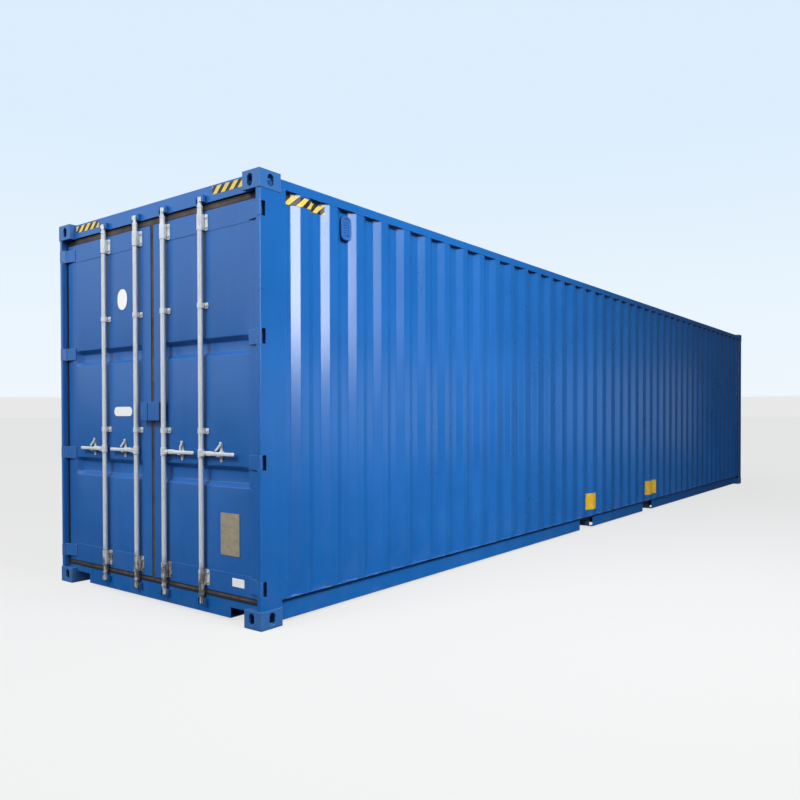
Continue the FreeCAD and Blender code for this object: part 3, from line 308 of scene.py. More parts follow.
def film(name, colour, grime=0.25, gloss=0.4, metallic=0.0):
    finish, tree, shader = new_finish(name, Metallic=metallic)
    place = place_of(tree)
    dirt = remap(tree, grain(tree, place, 22.0, 7.0, 0.7), 0.42, 0.75, 0.0, grime)
    tone = mixed(tree, dirt, rgb(*colour), rgb(*(channel * 0.35 for channel in colour)))
    tree.links.new(tone, shader.inputs["Base Color"])
    tree.links.new(remap(tree, dirt, 0.0, grime + 0.001, gloss, gloss + 0.2), shader.inputs["Roughness"])
    bumped(tree, shader, grain(tree, place, 60.0, 2.0), 0.0002, 0.4)
    return finish


def striped_film(name, axis, pitch=0.085):
    """Yellow film with black bars that lean up to the right; axis points to the right, as seen."""
    finish, tree, shader = new_finish(name)
    place = place_of(tree)
    parts = node(tree, "SeparateXYZ", {0: place})
    across = parts.outputs["X"] if axis == "x" else maths(tree, "MULTIPLY", parts.outputs["Y"], -1.0)
    ramp = maths(tree, "SUBTRACT", across, parts.outputs["Z"])
    phase = maths(tree, "FRACT", maths(tree, "DIVIDE", ramp, pitch))
    black = maths(tree, "GREATER_THAN", phase, 0.52)
    tone = mixed(tree, black, rgb(0.78, 0.58, 0.10), rgb(0.022, 0.022, 0.024))
    dirt = remap(tree, grain(tree, place, 30.0, 6.0, 0.7), 0.45, 0.8, 0.0, 0.35)
    tone = mixed(tree, dirt, tone, rgb(0.20, 0.20, 0.20))
    tree.links.new(tone, shader.inputs["Base Color"])
    tree.links.new(remap(tree, dirt, 0.0, 0.35, 0.35, 0.6), shader.inputs["Roughness"])
    return finish


stripes_on_end = striped_film("stripes_on_end", "y")
stripes_on_side = striped_film("stripes_on_side", "x")
yellow_film = film("yellow_film", (0.80, 0.50, 0.035), 0.45)
white_film = film("white_film", (0.92, 0.93, 0.94), 0.12)
plate_metal = film("plate_metal", (0.42, 0.36, 0.26), 0.5, 0.5, 0.2)
plate_edge = film("plate_edge", (0.45, 0.42, 0.36), 0.4, 0.4, 0.8)
shadow_black = film("shadow_black", (0.014, 0.018, 0.028), 0.2, 0.8)
print(len(bpy.data.materials), "finishes")

# %% [markdown]
# ## Mesh helpers
#
# A few builders cover nearly every piece: a prism raised from an outline, a turned shape spun
# round an axis, a lofted bar through a row of sections, and a copy of a solid with its long edges
# rounded. Real plate and castings have soft edges that catch the light, so the rounding matters.

# %% Helpers for pieces

PLANES = {"xy": ((1, 0, 0), (0, 1, 0), (0, 0, 1)), "yz": ((0, 1, 0), (0, 0, 1), (1, 0, 0)),
          "xz": ((1, 0, 0), (0, 0, 1), (0, 1, 0))}


def finish_piece(bm, name, body, finish, sharp=32):
    """Turns a bmesh into a shaded piece that rides on a body."""
    bmesh.ops.recalc_face_normals(bm, faces=bm.faces)
    mesh = bpy.data.meshes.new(name)
    bm.to_mesh(mesh)
    bm.free()
    mesh.shade_smooth()
    mesh.set_sharp_from_angle(angle=math.radians(sharp))
    mesh.materials.append(finish)
    piece = bpy.data.objects.new(name, mesh)
    bpy.context.scene.collection.objects.link(piece)
    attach(piece, body)
    return piece


def prism(bm, outline, plane, low, high):
    """Raises a closed outline between two levels; returns the new vertices."""
    first, second, along = (Vector(axis) for axis in PLANES[plane])
    rings = []
    for level in (low, high):
        rings.append([bm.verts.new(first * a + second * b + along * level) for a, b in outline])
    bm.faces.new(rings[0])
    bm.faces.new(rings[1])
    count = len(outline)
    for index in range(count):
        follow = (index + 1) % count
        bm.faces.new((rings[0][index], rings[0][follow], rings[1][follow], rings[1][index]))
    return rings[0] + rings[1]


def rounded_box(low, high, corner):
    """The outline of a rectangle with rounded corners, as pairs of numbers."""
    (a0, b0), (a1, b1) = low, high
    corner = min(corner, (a1 - a0) / 2 - 1e-5, (b1 - b0) / 2 - 1e-5)
    centres = ((a1 - corner, b1 - corner, 0), (a0 + corner, b1 - corner, 90),
               (a0 + corner, b0 + corner, 180), (a1 - corner, b0 + corner, 270))
    outline = []
    for a, b, start in centres:
        for step in range(5):
            turn = math.radians(start + step * 22.5)
            outline.append((a + corner * math.cos(turn), b + corner * math.sin(turn)))
    return outline


def turned(bm, centre, axis, profile, segments=24):
    """Spins (radius, distance) pairs round an axis through a centre and closes both ends."""
    along = Vector(axis)
    side = along.orthogonal().normalized()
    other = along.cross(side)
    rings = []
    for radius, distance in profile:
        ring = []
        for step in range(segments):
            turn = 2 * math.pi * step / segments
            out = side * math.cos(turn) + other * math.sin(turn)
            ring.append(bm.verts.new(Vector(centre) + along * distance + out * radius))
        rings.append(ring)
    for lower, upper in zip(rings, rings[1:]):
        for step in range(segments):
            follow = (step + 1) % segments
            bm.faces.new((lower[step], lower[follow], upper[follow], upper[step]))
    bm.faces.new(rings[0])
    bm.faces.new(rings[-1])


def lofted(bm, sections):
    """Joins closed sections of equal count, given as lists of points, with a cap at each end."""
    rings = [[bm.verts.new(point) for point in section] for section in sections]
    count = len(rings[0])
    for lower, upper in zip(rings, rings[1:]):
        for step in range(count):
            follow = (step + 1) % count
            bm.faces.new((lower[step], lower[follow], upper[follow], upper[step]))
    bm.faces.new(rings[0])
    bm.faces.new(rings[-1])


def bolt(bm, centre, axis, radius=0.009, height=0.006):
    """A hexagon head on a washer."""
    turned(bm, centre, axis, [(radius * 1.35, 0), (radius * 1.35, height * 0.25), (radius * 1.2, height * 0.3)], 16)
    turned(bm, centre, axis, [(radius, height * 0.2), (radius, height * 0.85), (radius * 0.8, height)], 6)


def round_edges(bm, radius, segments=2, shortest=0.0, angle=35):
    limit = math.radians(angle)
    edges = [edge for edge in bm.edges
             if len(edge.link_faces) == 2 and edge.calc_length() >= shortest and edge.calc_face_angle(0) > limit]
    bmesh.ops.bevel(bm, geom=edges, offset=radius, segments=segments, profile=0.5, affect="EDGES",
                    clamp_overlap=True)


def even_shading(piece, angle=50):
    """Wide faces shade flat and narrow ones take the turn between them."""
    mesh = piece.data
    limit = math.cos(math.radians(angle))
    around = [[] for _ in mesh.vertices]
    for face in mesh.polygons:
        for corner in face.vertices:
            around[corner].append(face)
    normals = []
    for face in mesh.polygons:
        for corner in face.vertices:
            near = [other for other in around[corner] if other.normal.dot(face.normal) > limit]
            normals.append(sum((other.normal * other.area for other in near), Vector()).normalized())
    mesh.normals_split_custom_set(normals)
    return piece


def softened(name, radius, finish, shortest=0.02, segments=2):
    """Shows a solid's own shape with its long edges rounded."""
    bm = bmesh.new()
    bm.from_mesh(frame["nodes"][name].data)
    bmesh.ops.remove_doubles(bm, verts=bm.verts, dist=1e-6)
    bmesh.ops.dissolve_limit(bm, angle_limit=math.radians(1), verts=bm.verts, edges=bm.edges)
    round_edges(bm, radius, segments, shortest)
    piece = even_shading(finish_piece(bm, f"{name}_rounded", body_of_node[name], finish))
    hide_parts(name)
    return piece


def painted(name, finish):
    """Gives a solid that is right as it stands its finish."""
    mesh = frame["nodes"][name].data
    mesh.materials.clear()
    mesh.materials.append(finish)


print("mesh helpers ready")

# %% [markdown]
# ## Corner castings, posts and beams
#
# The castings are poured steel, so their edges are round and their skin is grainy. Posts and beams
# are folded or welded plate. Rounding copies of the solids keeps every size exact.

# %% Castings and frame
CORNERS = [f"{end}_{hand}" for end in ("rear", "front") for hand in HANDS]
for corner in CORNERS:
    for level in ("bottom", "top"):
        softened(f"casting_{level}_{corner}", 0.006, cast_paint, 0.03, 3)
for hand in HANDS:
    softened(f"rear_post_{hand}", 0.003, frame_paint, 0.03)
    softened(f"front_post_{hand}", 0.006, frame_paint, 0.03)
    softened(f"side_top_rail_{hand}", 0.005, frame_paint, 0.03)
    softened(f"side_bottom_rail_{hand}", 0.0018, frame_paint, 0.03)
softened("door_header", 0.0025, frame_paint, 0.03)
softened("door_sill", 0.0025, frame_paint, 0.03)
softened("front_top_rail", 0.005, frame_paint, 0.03)
softened("front_bottom_rail", 0.0018, frame_paint, 0.03)
for name in ("cam_keepers_lower", "cam_keepers_upper"):
    softened(name, 0.002, frame_paint, 0.01)
for name in ("cross_members", "fork_pocket_rear", "fork_pocket_front", "gooseneck_tunnel"):
    painted(name, under_paint)
painted("floor_boards", floor_ply)

# %% [markdown]
# ## Pressed walls
#
# Each side is thin sheet pressed into upright waves, which make it stiff. A press leaves a small
# radius at each fold, and long flats are never quite flat, which is what makes reflections on a
# real container swim. The sheet is built here point by point: a line of folds, eased at each
# corner, swept up the wall with a millimetre of slow noise.

# %% The pressed sheet
SHEET = 0.002


def wave_line(start, end, count, end_flat, crest, slope, depth):
    """Corners of a wavy line as (along, height): height 0 in a recess and depth on a crest."""
    wave = (end - start - end_flat) / count
    flat = wave - crest - 2 * slope
    line = [(start, 0.0)]
    for index in range(count):
        foot = start + index * wave + flat
        line += [(foot, 0.0), (foot + slope, depth), (foot + slope + crest, depth), (foot + 2 * slope + crest, 0.0)]
    line.append((end, 0.0))
    return [point for index, point in enumerate(line) if index == 0 or point != line[index - 1]]


def eased(line, reach, steps=2):
    """Swaps each inner corner for a short curve."""
    smooth = [line[0]]
    for before, corner, after in zip(line, line[1:], line[2:]):
        before, corner, after = Vector(before), Vector(corner), Vector(after)
        start = corner + (before - corner).normalized() * reach
        end = corner + (after - corner).normalized() * reach
        for step in range(steps + 1):
            t = step / steps
            smooth.append(tuple(start * (1 - t) ** 2 + corner * 2 * t * (1 - t) + end * t * t))
    smooth.append(line[-1])
    return smooth


def spaced(low, high, gap):
    """Even steps from low to high, no wider than a gap."""
    count = max(1, math.ceil((high - low) / gap))
    return [low + (high - low) * index / count for index in range(count + 1)]


def pressed_sheet(bm, line, rows, spot, thickness=SHEET, wander=0.0, seed=0.0, share=None):
    """Sweeps a line of (along, height) over rows; spot(along, height, row) gives a point.

    share(row) shrinks the heights near the ends of the rows, which closes the waves there.
    """
    skins = []
    for inward in (0.0, thickness):
        grid = []
        for along, height in line:
            column = []
            for row in rows:
                drift = wander * noise.noise(Vector((along * 2.1, row * 1.3, seed)))
                depth = height * share(row) if share else height
                column.append(bm.verts.new(spot(along, depth - inward + drift, row)))
            grid.append(column)
        skins.append(grid)
    outer, inner = skins
    columns, count = len(line), len(rows)
    for skin in skins:
        for a in range(columns - 1):
            for b in range(count - 1):
                bm.faces.new((skin[a][b], skin[a + 1][b], skin[a + 1][b + 1], skin[a][b + 1]))
    for a in range(columns - 1):
        for b in (0, count - 1):
            bm.faces.new((outer[a][b], outer[a + 1][b], inner[a + 1][b], inner[a][b]))
    for b in range(count - 1):
        for a in (0, columns - 1):
            bm.faces.new((outer[a][b], outer[a][b + 1], inner[a][b + 1], inner[a][b]))


# %% Side walls
SIDE_DEPTH = 0.036
SIDE_FLAT = 0.104
SIDE_WAVES = 42
SIDE_CREST = 0.072
SIDE_SLOPE = 0.068
wall_low, wall_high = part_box("side_wall_right")
side_line = wave_line(wall_low.x, wall_high.x, SIDE_WAVES, SIDE_FLAT, SIDE_CREST, SIDE_SLOPE, SIDE_DEPTH)
side_trough = abs(wall_low.y) - SIDE_DEPTH
for hand, sign in HANDS.items():
    bm = bmesh.new()
    pressed_sheet(bm, eased(side_line, 0.008), spaced(wall_low.z, wall_high.z, 0.17),
                  lambda along, height, row: (along, sign * (side_trough + height), row), wander=0.0012, seed=sign)
    wall = even_shading(finish_piece(bm, f"side_wall_{hand}_pressed", "root", wall_paint, 40))
    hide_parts(f"side_wall_{hand}")
    print(wall.name, len(wall.data.polygons), "faces")

# %% Roof and blind end
ROOF_DEPTH = 0.020
ROOF_FLAT = 0.280
ROOF_WAVES = 55
ROOF_MARGIN = 0.062
ROOF_CLOSE = 0.022
roof_low, roof_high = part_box("roof")
roof_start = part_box("rear_post_right")[1].x
roof_line = [(roof_start, 0.0)] + wave_line(REAR + 0.046 + ROOF_FLAT, FRONT - 0.003, ROOF_WAVES, ROOF_FLAT, 0.091, 0.014,
                                            ROOF_DEPTH)
roof_line = [point for point in roof_line if point[0] < roof_high.x] + [(roof_high.x, 0.0)]
roof_base = roof_high.z - ROOF_DEPTH
rim = abs(RIGHT) - ROOF_MARGIN


def roof_share(y):
    """1 over the roof and 0 on its flat rims beside the rails."""
    return max(0.0, min(1.0, (rim - abs(y)) / ROOF_CLOSE))


rim_rows = (rim, rim - ROOF_CLOSE / 2, rim - ROOF_CLOSE, (roof_high.y + rim) / 2)
roof_rows = sorted({roof_low.y, roof_high.y, *rim_rows, *(-row for row in rim_rows),
                    *spaced(ROOF_CLOSE - rim, rim - ROOF_CLOSE, 0.2)})
bm = bmesh.new()
pressed_sheet(bm, eased(roof_line, 0.004, 1), roof_rows, lambda along, height, row: (along, row, roof_base + height),
              wander=0.001, seed=5.0, share=roof_share)
casting_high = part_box("casting_top_rear_right")[1]
for sign in HANDS.values():
    tab = rounded_box((casting_high.x, min(sign * roof_high.y, sign * -casting_high.y)),
                      (roof_start + 0.001, max(sign * roof_high.y, sign * -casting_high.y)), 0.0005)
    prism(bm, tab, "xy", roof_base - SHEET, roof_base)
roof = even_shading(finish_piece(bm, "roof_pressed", "root", wall_paint, 40))
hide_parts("roof")

END_DEPTH = 0.044
end_low, end_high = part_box("end_wall")
end_line = wave_line(end_low.y, end_high.y, 8, 0.112, 0.104, 0.018, END_DEPTH)
bm = bmesh.new()
pressed_sheet(bm, eased(end_line, 0.005), spaced(end_low.z, end_high.z, 0.17),
              lambda along, height, row: (end_high.x - END_DEPTH + height, along, row), wander=0.0015)
end_wall = even_shading(finish_piece(bm, "end_wall_pressed", "root", wall_paint, 40))
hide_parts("end_wall")
print(end_wall.name, roof.name, len(roof.data.polygons), "faces")

# %% [markdown]
# ## Door leaves
#
# A leaf is a frame of square tube round one pressed panel. Two grooves across the panel keep it
# flat. Pressing closes each groove with a slope at its ends, so the panel is a grid whose depth is
# the groove's own line times a ramp at each side.

# %% Door panels
PANEL_SET_BACK = 0.002
GROOVE_DEPTH = 0.034
GROOVE_SLOPE = 0.028
GROOVE_END = 0.016
GROOVES = ((0.882, 1.020), (1.751, 1.873))
LEAF_FACE = 0.050


def groove_line(low, high):
    line = [(low, 0.0)]
    for bottom, top in GROOVES:
        line += [(bottom, 0.0), (bottom + GROOVE_SLOPE, -GROOVE_DEPTH), (top - GROOVE_SLOPE, -GROOVE_DEPTH), (top, 0.0)]
    return eased(line + [(high, 0.0)], 0.005, 3)


PANEL_TUCK = 0.006

for hand, sign in HANDS.items():
    low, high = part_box(f"leaf_panel_{hand}")
    left_end, right_end = low.y + GROOVE_END, high.y - GROOVE_END

    def groove_share(y):
        """0 beyond the closed ends of the grooves and 1 between them."""
        return max(0.0, min(1.0, (y - left_end) / GROOVE_SLOPE, (right_end - y) / GROOVE_SLOPE))

    corners = {left_end, left_end + GROOVE_SLOPE, right_end - GROOVE_SLOPE, right_end}
    columns = sorted({low.y - PANEL_TUCK, high.y + PANEL_TUCK, *corners,
                      *spaced(left_end + GROOVE_SLOPE, right_end - GROOVE_SLOPE, 0.08)})
    bm = bmesh.new()
    pressed_sheet(bm, groove_line(low.z, high.z), columns, lambda along, height, row: (low.x - height, row, along),
                  wander=0.0012, seed=7.0 + sign, share=groove_share)
    panel = finish_piece(bm, f"leaf_panel_{hand}_pressed", f"door_{hand}", door_paint, 40)
    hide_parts(f"leaf_panel_{hand}")
    softened(f"leaf_frame_{hand}", 0.0016, door_paint, 0.03, 2)
    softened(f"lock_box_{hand}", 0.0012, door_paint, 0.01)
    softened(f"hinge_blades_{hand}", 0.0015, hinge_paint, 0.02)
    painted(f"leaf_gasket_{hand}", seal_rubber)

# %% [markdown]
# ## Lock rods
#
# Each rod is a tube that turns in brackets. A forged cam at each end bites into a keeper on the
# frame, and a forked hub near the middle carries the handle. Turned shapes give the tube, its
# collars and the hub; prisms with rounded edges give the cams and the fork.

# %% Rods
ROD_RADIUS = 0.017
HUB_HALF = 0.030
CAM_HEIGHT = 0.034
EAR_GAP = 0.008
EAR_WALL = 0.005

for (row, hand), axis in rod_axis.items():
    name = f"lock_rod_{row}_{hand}"
    sign = HANDS[hand]
    low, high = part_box(name)
    bm = bmesh.new()
    for foot, way in ((low.z, 1), (high.z, -1)):
        cam_y = sorted((axis.y, axis.y + sign * 0.024))
        cam = rounded_box((axis.x - 0.0135, cam_y[0]), (axis.x + 0.0125, cam_y[1]), 0.007)
        prism(bm, cam, "xy", foot + way * 0.003, foot + way * (CAM_HEIGHT - 0.002))
        ball = rounded_box((axis.x - 0.0138, axis.y - 0.0138), (axis.x + 0.0138, axis.y + 0.0138), 0.0138)
        prism(bm, ball, "xy", foot + way * 0.0015, foot + way * (CAM_HEIGHT + 0.006))
    for side in (-1, 1):
        plate = axis.x + side * (EAR_GAP + EAR_WALL / 2)
        near, far = axis.y, axis.y + sign * 0.059
        ear = rounded_box((min(near, far), axis.z - 0.017), (max(near, far), axis.z + 0.017), 0.0165)
        prism(bm, ear, "yz", plate - EAR_WALL / 2, plate + EAR_WALL / 2)
    round_edges(bm, 0.0022, 2)
    collar = [(0.0105, low.z), (0.0138, low.z + 0.003), (0.0138, low.z + 0.056), (0.0192, low.z + 0.058),
              (0.0192, low.z + 0.070), (ROD_RADIUS, low.z + 0.072)]
    shaft = collar + [(ROD_RADIUS, axis.z - HUB_HALF), (0.0212, axis.z - HUB_HALF + 0.003), (0.0212, axis.z + HUB_HALF - 0.003),
                      (ROD_RADIUS, axis.z + HUB_HALF)]
    shaft += [(radius, high.z - (level - low.z)) for radius, level in reversed(collar)]
    turned(bm, (axis.x, axis.y, 0.0), (0, 0, 1), shaft, 32)
    pivot = joint_place[f"handle_{row}_{hand}_lift"]
    turned(bm, pivot, (1, 0, 0), [(0.0058, -0.013), (0.0095, -0.0128), (0.0095, -0.0155), (0.006, -0.0175)], 16)
    turned(bm, pivot, (1, 0, 0), [(0.0058, -0.013), (0.0058, 0.013)], 16)
    rod = finish_piece(bm, f"{name}_forged", f"rod_{row}_{hand}", rod_zinc)
    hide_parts(name)
print("rods from", round(low.z, 3), "to", round(high.z, 3), "m above the ground")

# %% [markdown]
# ## Handles
#
# A handle is a forging: a round eye on the pivot, a thick neck that takes the bending, and a flat
# bar to hold. Lofting rounded sections along the bar gives that swelling without hard steps.

# %% Handles


def oval(centre, half_depth, half_height, power=3.0, points=16):
    """A rounded-rectangle section in the plane across the bar."""
    ring = []
    for step in range(points):
        turn = 2 * math.pi * step / points
        c, s = math.cos(turn), math.sin(turn)
        across = half_depth * math.copysign(abs(c) ** (2 / power), c)
        up = half_height * math.copysign(abs(s) ** (2 / power), s)
        ring.append(centre + Vector((across, 0, up)))
    return ring


BAR = ((0.004, 0.0062, 0.0135, 0.0), (0.020, 0.0068, 0.0155, 0.0), (0.045, 0.0068, 0.0170, 0.001),
       (0.070, 0.0064, 0.0155, 0.001), (0.100, 0.0060, 0.0135, 0.0), (0.130, 0.0058, 0.0125, 0.0),
       (0.200, 0.0058, 0.0122, 0.0), (0.270, 0.0058, 0.0122, 0.0), (0.292, 0.0060, 0.0125, 0.0),
       (0.300, 0.0048, 0.0105, 0.0), (0.3025, 0.0025, 0.0060, 0.0))

for (row, hand), axis in rod_axis.items():
    name = f"handle_{row}_{hand}"
    sign = HANDS[hand]
    pivot = joint_place[f"{name}_lift"]
    bm = bmesh.new()
    lofted(bm, [oval(pivot + Vector((0, sign * along, rise)), half_depth, half_height)
                for along, half_depth, half_height, rise in BAR])
    turned(bm, pivot, (1, 0, 0), [(0.0125, -0.0068), (0.0138, -0.0055), (0.0138, 0.0055), (0.0125, 0.0068)], 24)
    handle = finish_piece(bm, f"{name}_forged", f"lever_{row}_{hand}", forged_zinc, 45)
    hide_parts(name)
print("handles:", len(rod_axis))

# %% [markdown]
# ## Retainers and catches
#
# The handle rests in a retainer on the leaf. Its plate has a lip under the bar, and a swinging
# catch hangs on a pin above, with a curled finger that drops over the handle.

# %% Retainers and catches


def ribbon(bm, path, width, thickness):
    """A flat strip along a path of (y, z, x) points; width lies along x."""
    points = [Vector((x, y, z)) for y, z, x in path]
    sections = []
    for index, point in enumerate(points):
        ahead = points[min(index + 1, len(points) - 1)] - points[max(index - 1, 0)]
        ahead.x = 0
        across = Vector((0, -ahead.z, ahead.y)).normalized()
        half = thickness / 2 * (0.55 if index in (0, len(points) - 1) else 1.0)
        sections.append([point + Vector((side * width / 2, 0, 0)) + across * half * up
                         for side, up in ((-1, -1), (1, -1), (1, 1), (-1, 1))])
    lofted(bm, sections)


CATCH_BORE, CATCH_EYE, CATCH_SIDES = 0.0052, 0.013, 24
CURL = ((0.052, -0.034), (0.042, -0.031), (0.030, -0.023), (0.018, -0.012), (0.006, -0.002), (-0.004, 0.006),
        (-0.008, 0.013), (-0.004, 0.020), (0.004, 0.021))

HANGING_CURL = ((0.012, -0.056), (0.008, -0.044), (0.010, -0.030), (0.008, -0.016), (0.000, -0.004), (-0.008, 0.004),
                (-0.010, 0.012), (-0.004, 0.019), (0.004, 0.020))

for hand, sign in HANDS.items():
    bm = bmesh.new()
    for row in ("inner", "outer"):
        pin = joint_place[f"catch_{row}_{hand}_swing"]
        handle_z = joint_place[f"handle_{row}_{hand}_lift"].z
        low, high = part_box(f"handle_retainers_{hand}")
        plate = [(-0.022, handle_z - 0.016), (-0.022, handle_z + 0.014), (-0.012, handle_z + 0.022), (-0.012, high.z - 0.006),
                 (-0.007, high.z), (0.007, high.z), (0.012, high.z - 0.006), (0.012, handle_z + 0.022), (0.022, handle_z + 0.014),
                 (0.022, handle_z - 0.016), (0.011, handle_z - 0.022), (0.011, low.z + 0.006), (0.007, low.z), (-0.007, low.z),
                 (-0.011, low.z + 0.006), (-0.011, handle_z - 0.022)]
        prism(bm, [(pin.y + across, level) for across, level in plate], "yz", behind(0.046), behind(LEAF_FACE + PANEL_SET_BACK))
        seat_top = handle_z - 0.012
        lip = [(0.016, seat_top - 0.002), (0.020, seat_top), (0.046, seat_top), (0.046, seat_top - 0.020), (0.038, seat_top - 0.008),
               (0.018, seat_top - 0.006)]
        prism(bm, [(behind(depth), level) for depth, level in lip], "xz", pin.y - 0.018, pin.y + 0.018)
        round_edges(bm, 0.0012, 2)
        pin_shape = [(0.0048, 0), (0.0048, 0.0068), (0.008, 0.007), (0.008, 0.0078), (0.005, 0.0092)]
        turned(bm, (behind(0.046), pin.y, pin.z), (-1, 0, 0), pin_shape, 16)
        bolt(bm, (behind(0.046), pin.y, low.z + 0.014), (-1, 0, 0), 0.006, 0.005)
        catch = bmesh.new()
        circles = []
        for level in (behind(0.0402), behind(0.0448)):
            for radius in (CATCH_BORE, CATCH_EYE):
                circles.append([])
                for k in range(CATCH_SIDES):
                    turn = 2 * math.pi * k / CATCH_SIDES
                    spot = (level, pin.y + radius * math.cos(turn), pin.z + radius * math.sin(turn))
                    circles[-1].append(catch.verts.new(spot))
        for first, second in ((0, 1), (2, 3), (0, 2), (1, 3)):
            near, far = circles[first], circles[second]
            for k in range(CATCH_SIDES):
                follow = (k + 1) % CATCH_SIDES
                catch.faces.new((near[k], near[follow], far[follow], far[k]))
        lean = CURL if (row, hand) != ("inner", "right") else HANGING_CURL
        ribbon(catch, [(pin.y + across, pin.z + up, behind(0.0385)) for across, up in lean], 0.010, 0.015)
        curl = finish_piece(catch, f"catch_{row}_{hand}_curled", f"hasp_{row}_{hand}", forged_zinc, 45)
        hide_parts(f"catch_{row}_{hand}")
    retainers = even_shading(finish_piece(bm, f"handle_retainers_{hand}_forged", f"door_{hand}",
                                          forged_zinc))
    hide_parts(f"handle_retainers_{hand}")
print("retainers and catches made")

# %% [markdown]
# ## Rod brackets
#
# A rod is held by a heavy bracket near each end, bolted through the leaf, and by two narrow guides
# between. Each has a plate and a saddle that wraps the rod like a strap.

# %% Brackets
BRACKETS = ((0.258, 0.110, 0.052), (1.249, 0.040, 0.052), (2.095, 0.040, 0.052), (2.654, 0.110, 0.052))
SADDLE = 0.021
SADDLE_BORE = 0.0178


def saddle_outline(axis, seat):
    """A strap round the rod: a half circle in front, straight flanks, and two feet on the plate."""
    outer = []
    for step in range(13):
        turn = math.pi / 2 + math.pi * step / 12
        outer.append((axis.x + SADDLE * math.cos(turn), axis.y + SADDLE * math.sin(turn)))
    back = [(seat, axis.y - SADDLE), (seat, axis.y - SADDLE_BORE), (axis.x, axis.y - SADDLE_BORE)]
    inner = []
    for step in range(1, 12):
        turn = 3 * math.pi / 2 - math.pi * step / 12
        inner.append((axis.x + SADDLE_BORE * math.cos(turn), axis.y + SADDLE_BORE * math.sin(turn)))
    return outer + back + inner + [(axis.x, axis.y + SADDLE_BORE), (seat, axis.y + SADDLE_BORE), (seat, axis.y + SADDLE)]


for hand in HANDS:
    bm = bmesh.new()
    bolts = bmesh.new()
    for row in ("inner", "outer"):
        axis = rod_axis[row, hand]
        for middle, tall, half in BRACKETS:
            heavy = tall > 0.08
            seat = behind(LEAF_FACE if heavy else LEAF_FACE + PANEL_SET_BACK)
            foot = rounded_box((axis.y - half, middle - tall / 2), (axis.y + half, middle + tall / 2), 0.010)
            prism(bm, foot, "yz", behind(LEAF_FACE - 0.004), seat)
            strap = saddle_outline(axis, behind(LEAF_FACE - 0.003))
            prism(bm, strap, "xy", middle - tall / 2 + 0.002, middle + tall / 2 - 0.002)
            for side in (-1, 1):
                for up in ((-1, 1) if heavy else (0,)):
                    spot = (behind(LEAF_FACE - 0.004), axis.y + side * (half - 0.015), middle + up * (tall / 2 - 0.022))
                    bolt(bolts, spot, (-1, 0, 0), 0.0085, 0.008)
    round_edges(bm, 0.0012, 2)
    brackets = even_shading(finish_piece(bm, f"rod_brackets_{hand}_strapped", f"door_{hand}",
                                         forged_zinc))
    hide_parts(f"rod_brackets_{hand}")
    finish_piece(bolts, f"bracket_bolts_{hand}", f"door_{hand}", forged_zinc)
print("brackets:", len(BRACKETS) * len(rod_axis))

# %% [markdown]
# ## Door seals
#
# The rubber has a double lip, and a flat steel strip clamps it to the leaf. Running a thin bead
# along its outer edge and a strip along its inner edge gives the seal its two tones; the strip is
# drawn in shadow black as painted shade of the gap. A flap, also in shadow black as painted shade,
# hangs over the sill's edge, and a wider strip on the right leaf covers the gap between the two.

# %% Seal lips and strips
POST_INNER = 0.038

for hand, sign in HANDS.items():
    low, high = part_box(f"leaf_gasket_{hand}")
    leaf_low, leaf_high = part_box(f"leaf_frame_{hand}")
    bead = 0.0035
    bm = bmesh.new()
    face = low.x
    runs = [((face, low.y + bead, low.z + bead), (0, 1, 0), high.y - low.y - 2 * bead),
            ((face, low.y + bead, high.z - bead), (0, 1, 0), high.y - low.y - 2 * bead),
            ((face, low.y + bead, low.z + bead), (0, 0, 1), high.z - low.z - 2 * bead),
            ((face, high.y - bead, low.z + bead), (0, 0, 1), high.z - low.z - 2 * bead)]
    for start, way, length in runs:
        turned(bm, start, way, [(bead, 0), (bead, length)], 10)
    finish_piece(bm, f"seal_lip_{hand}", f"door_{hand}", seal_rubber)
    # the strips and the flap below are drawn in shadow black: painted shade in the gaps round the leaf
    bm = bmesh.new()
    for foot, head in ((leaf_low.z - 0.006, leaf_low.z - 0.0005), (leaf_high.z + 0.0005, leaf_high.z + 0.006)):
        strip = rounded_box((leaf_low.y + 0.004, foot), (leaf_high.y - 0.004, head), 0.001)
        prism(bm, strip, "yz", face - 0.0025, face + 0.001)
    for edge, way in ((leaf_low.y, -1), (leaf_high.y, 1)):
        side_strip = sorted((edge, edge + way * 0.006))
        strip = rounded_box((side_strip[0], leaf_low.z), (side_strip[1], leaf_high.z), 0.001)
        prism(bm, strip, "yz", face - 0.0015, face + 0.001)
    flap = [(leaf_low.x - 0.0055, low.z - 0.014), (leaf_low.x - 0.0043, low.z - 0.014), (leaf_low.x - 0.0043, low.z - 0.0046),
            (low.x + 0.004, low.z - 0.0046), (low.x + 0.004, low.z + 0.004), (leaf_low.x + 0.001, low.z - 0.001),
            (leaf_low.x - 0.0055, low.z - 0.002)]
    prism(bm, flap, "xz", low.y + 0.001, high.y - 0.001)
    finish_piece(bm, f"seal_shadow_strip_{hand}", f"door_{hand}", shadow_black)
    # a thin near-black strip on the post's inner face stands in for the shade in the jamb gap: painted shade
    post_low, post_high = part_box(f"rear_post_{hand}")
    inner_face = sign * (abs(RIGHT) - POST_INNER)
    lip = sorted((inner_face, inner_face - sign * 0.0016))
    bm = bmesh.new()
    jamb = rounded_box((post_low.x + 0.040, lip[0]), (low.x + 0.040, lip[1]), 0.0006)
    prism(bm, jamb, "xy", post_low.z + 0.035, post_high.z - 0.07)
    finish_piece(bm, f"jamb_shadow_strip_{hand}", "root", shadow_black)
bm = bmesh.new()
low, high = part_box("leaf_gasket_right")
prism(bm, rounded_box((-0.013, low.z + 0.002), (0.013, high.z - 0.002), 0.002), "yz", low.x - 0.0022, low.x - 0.0006)
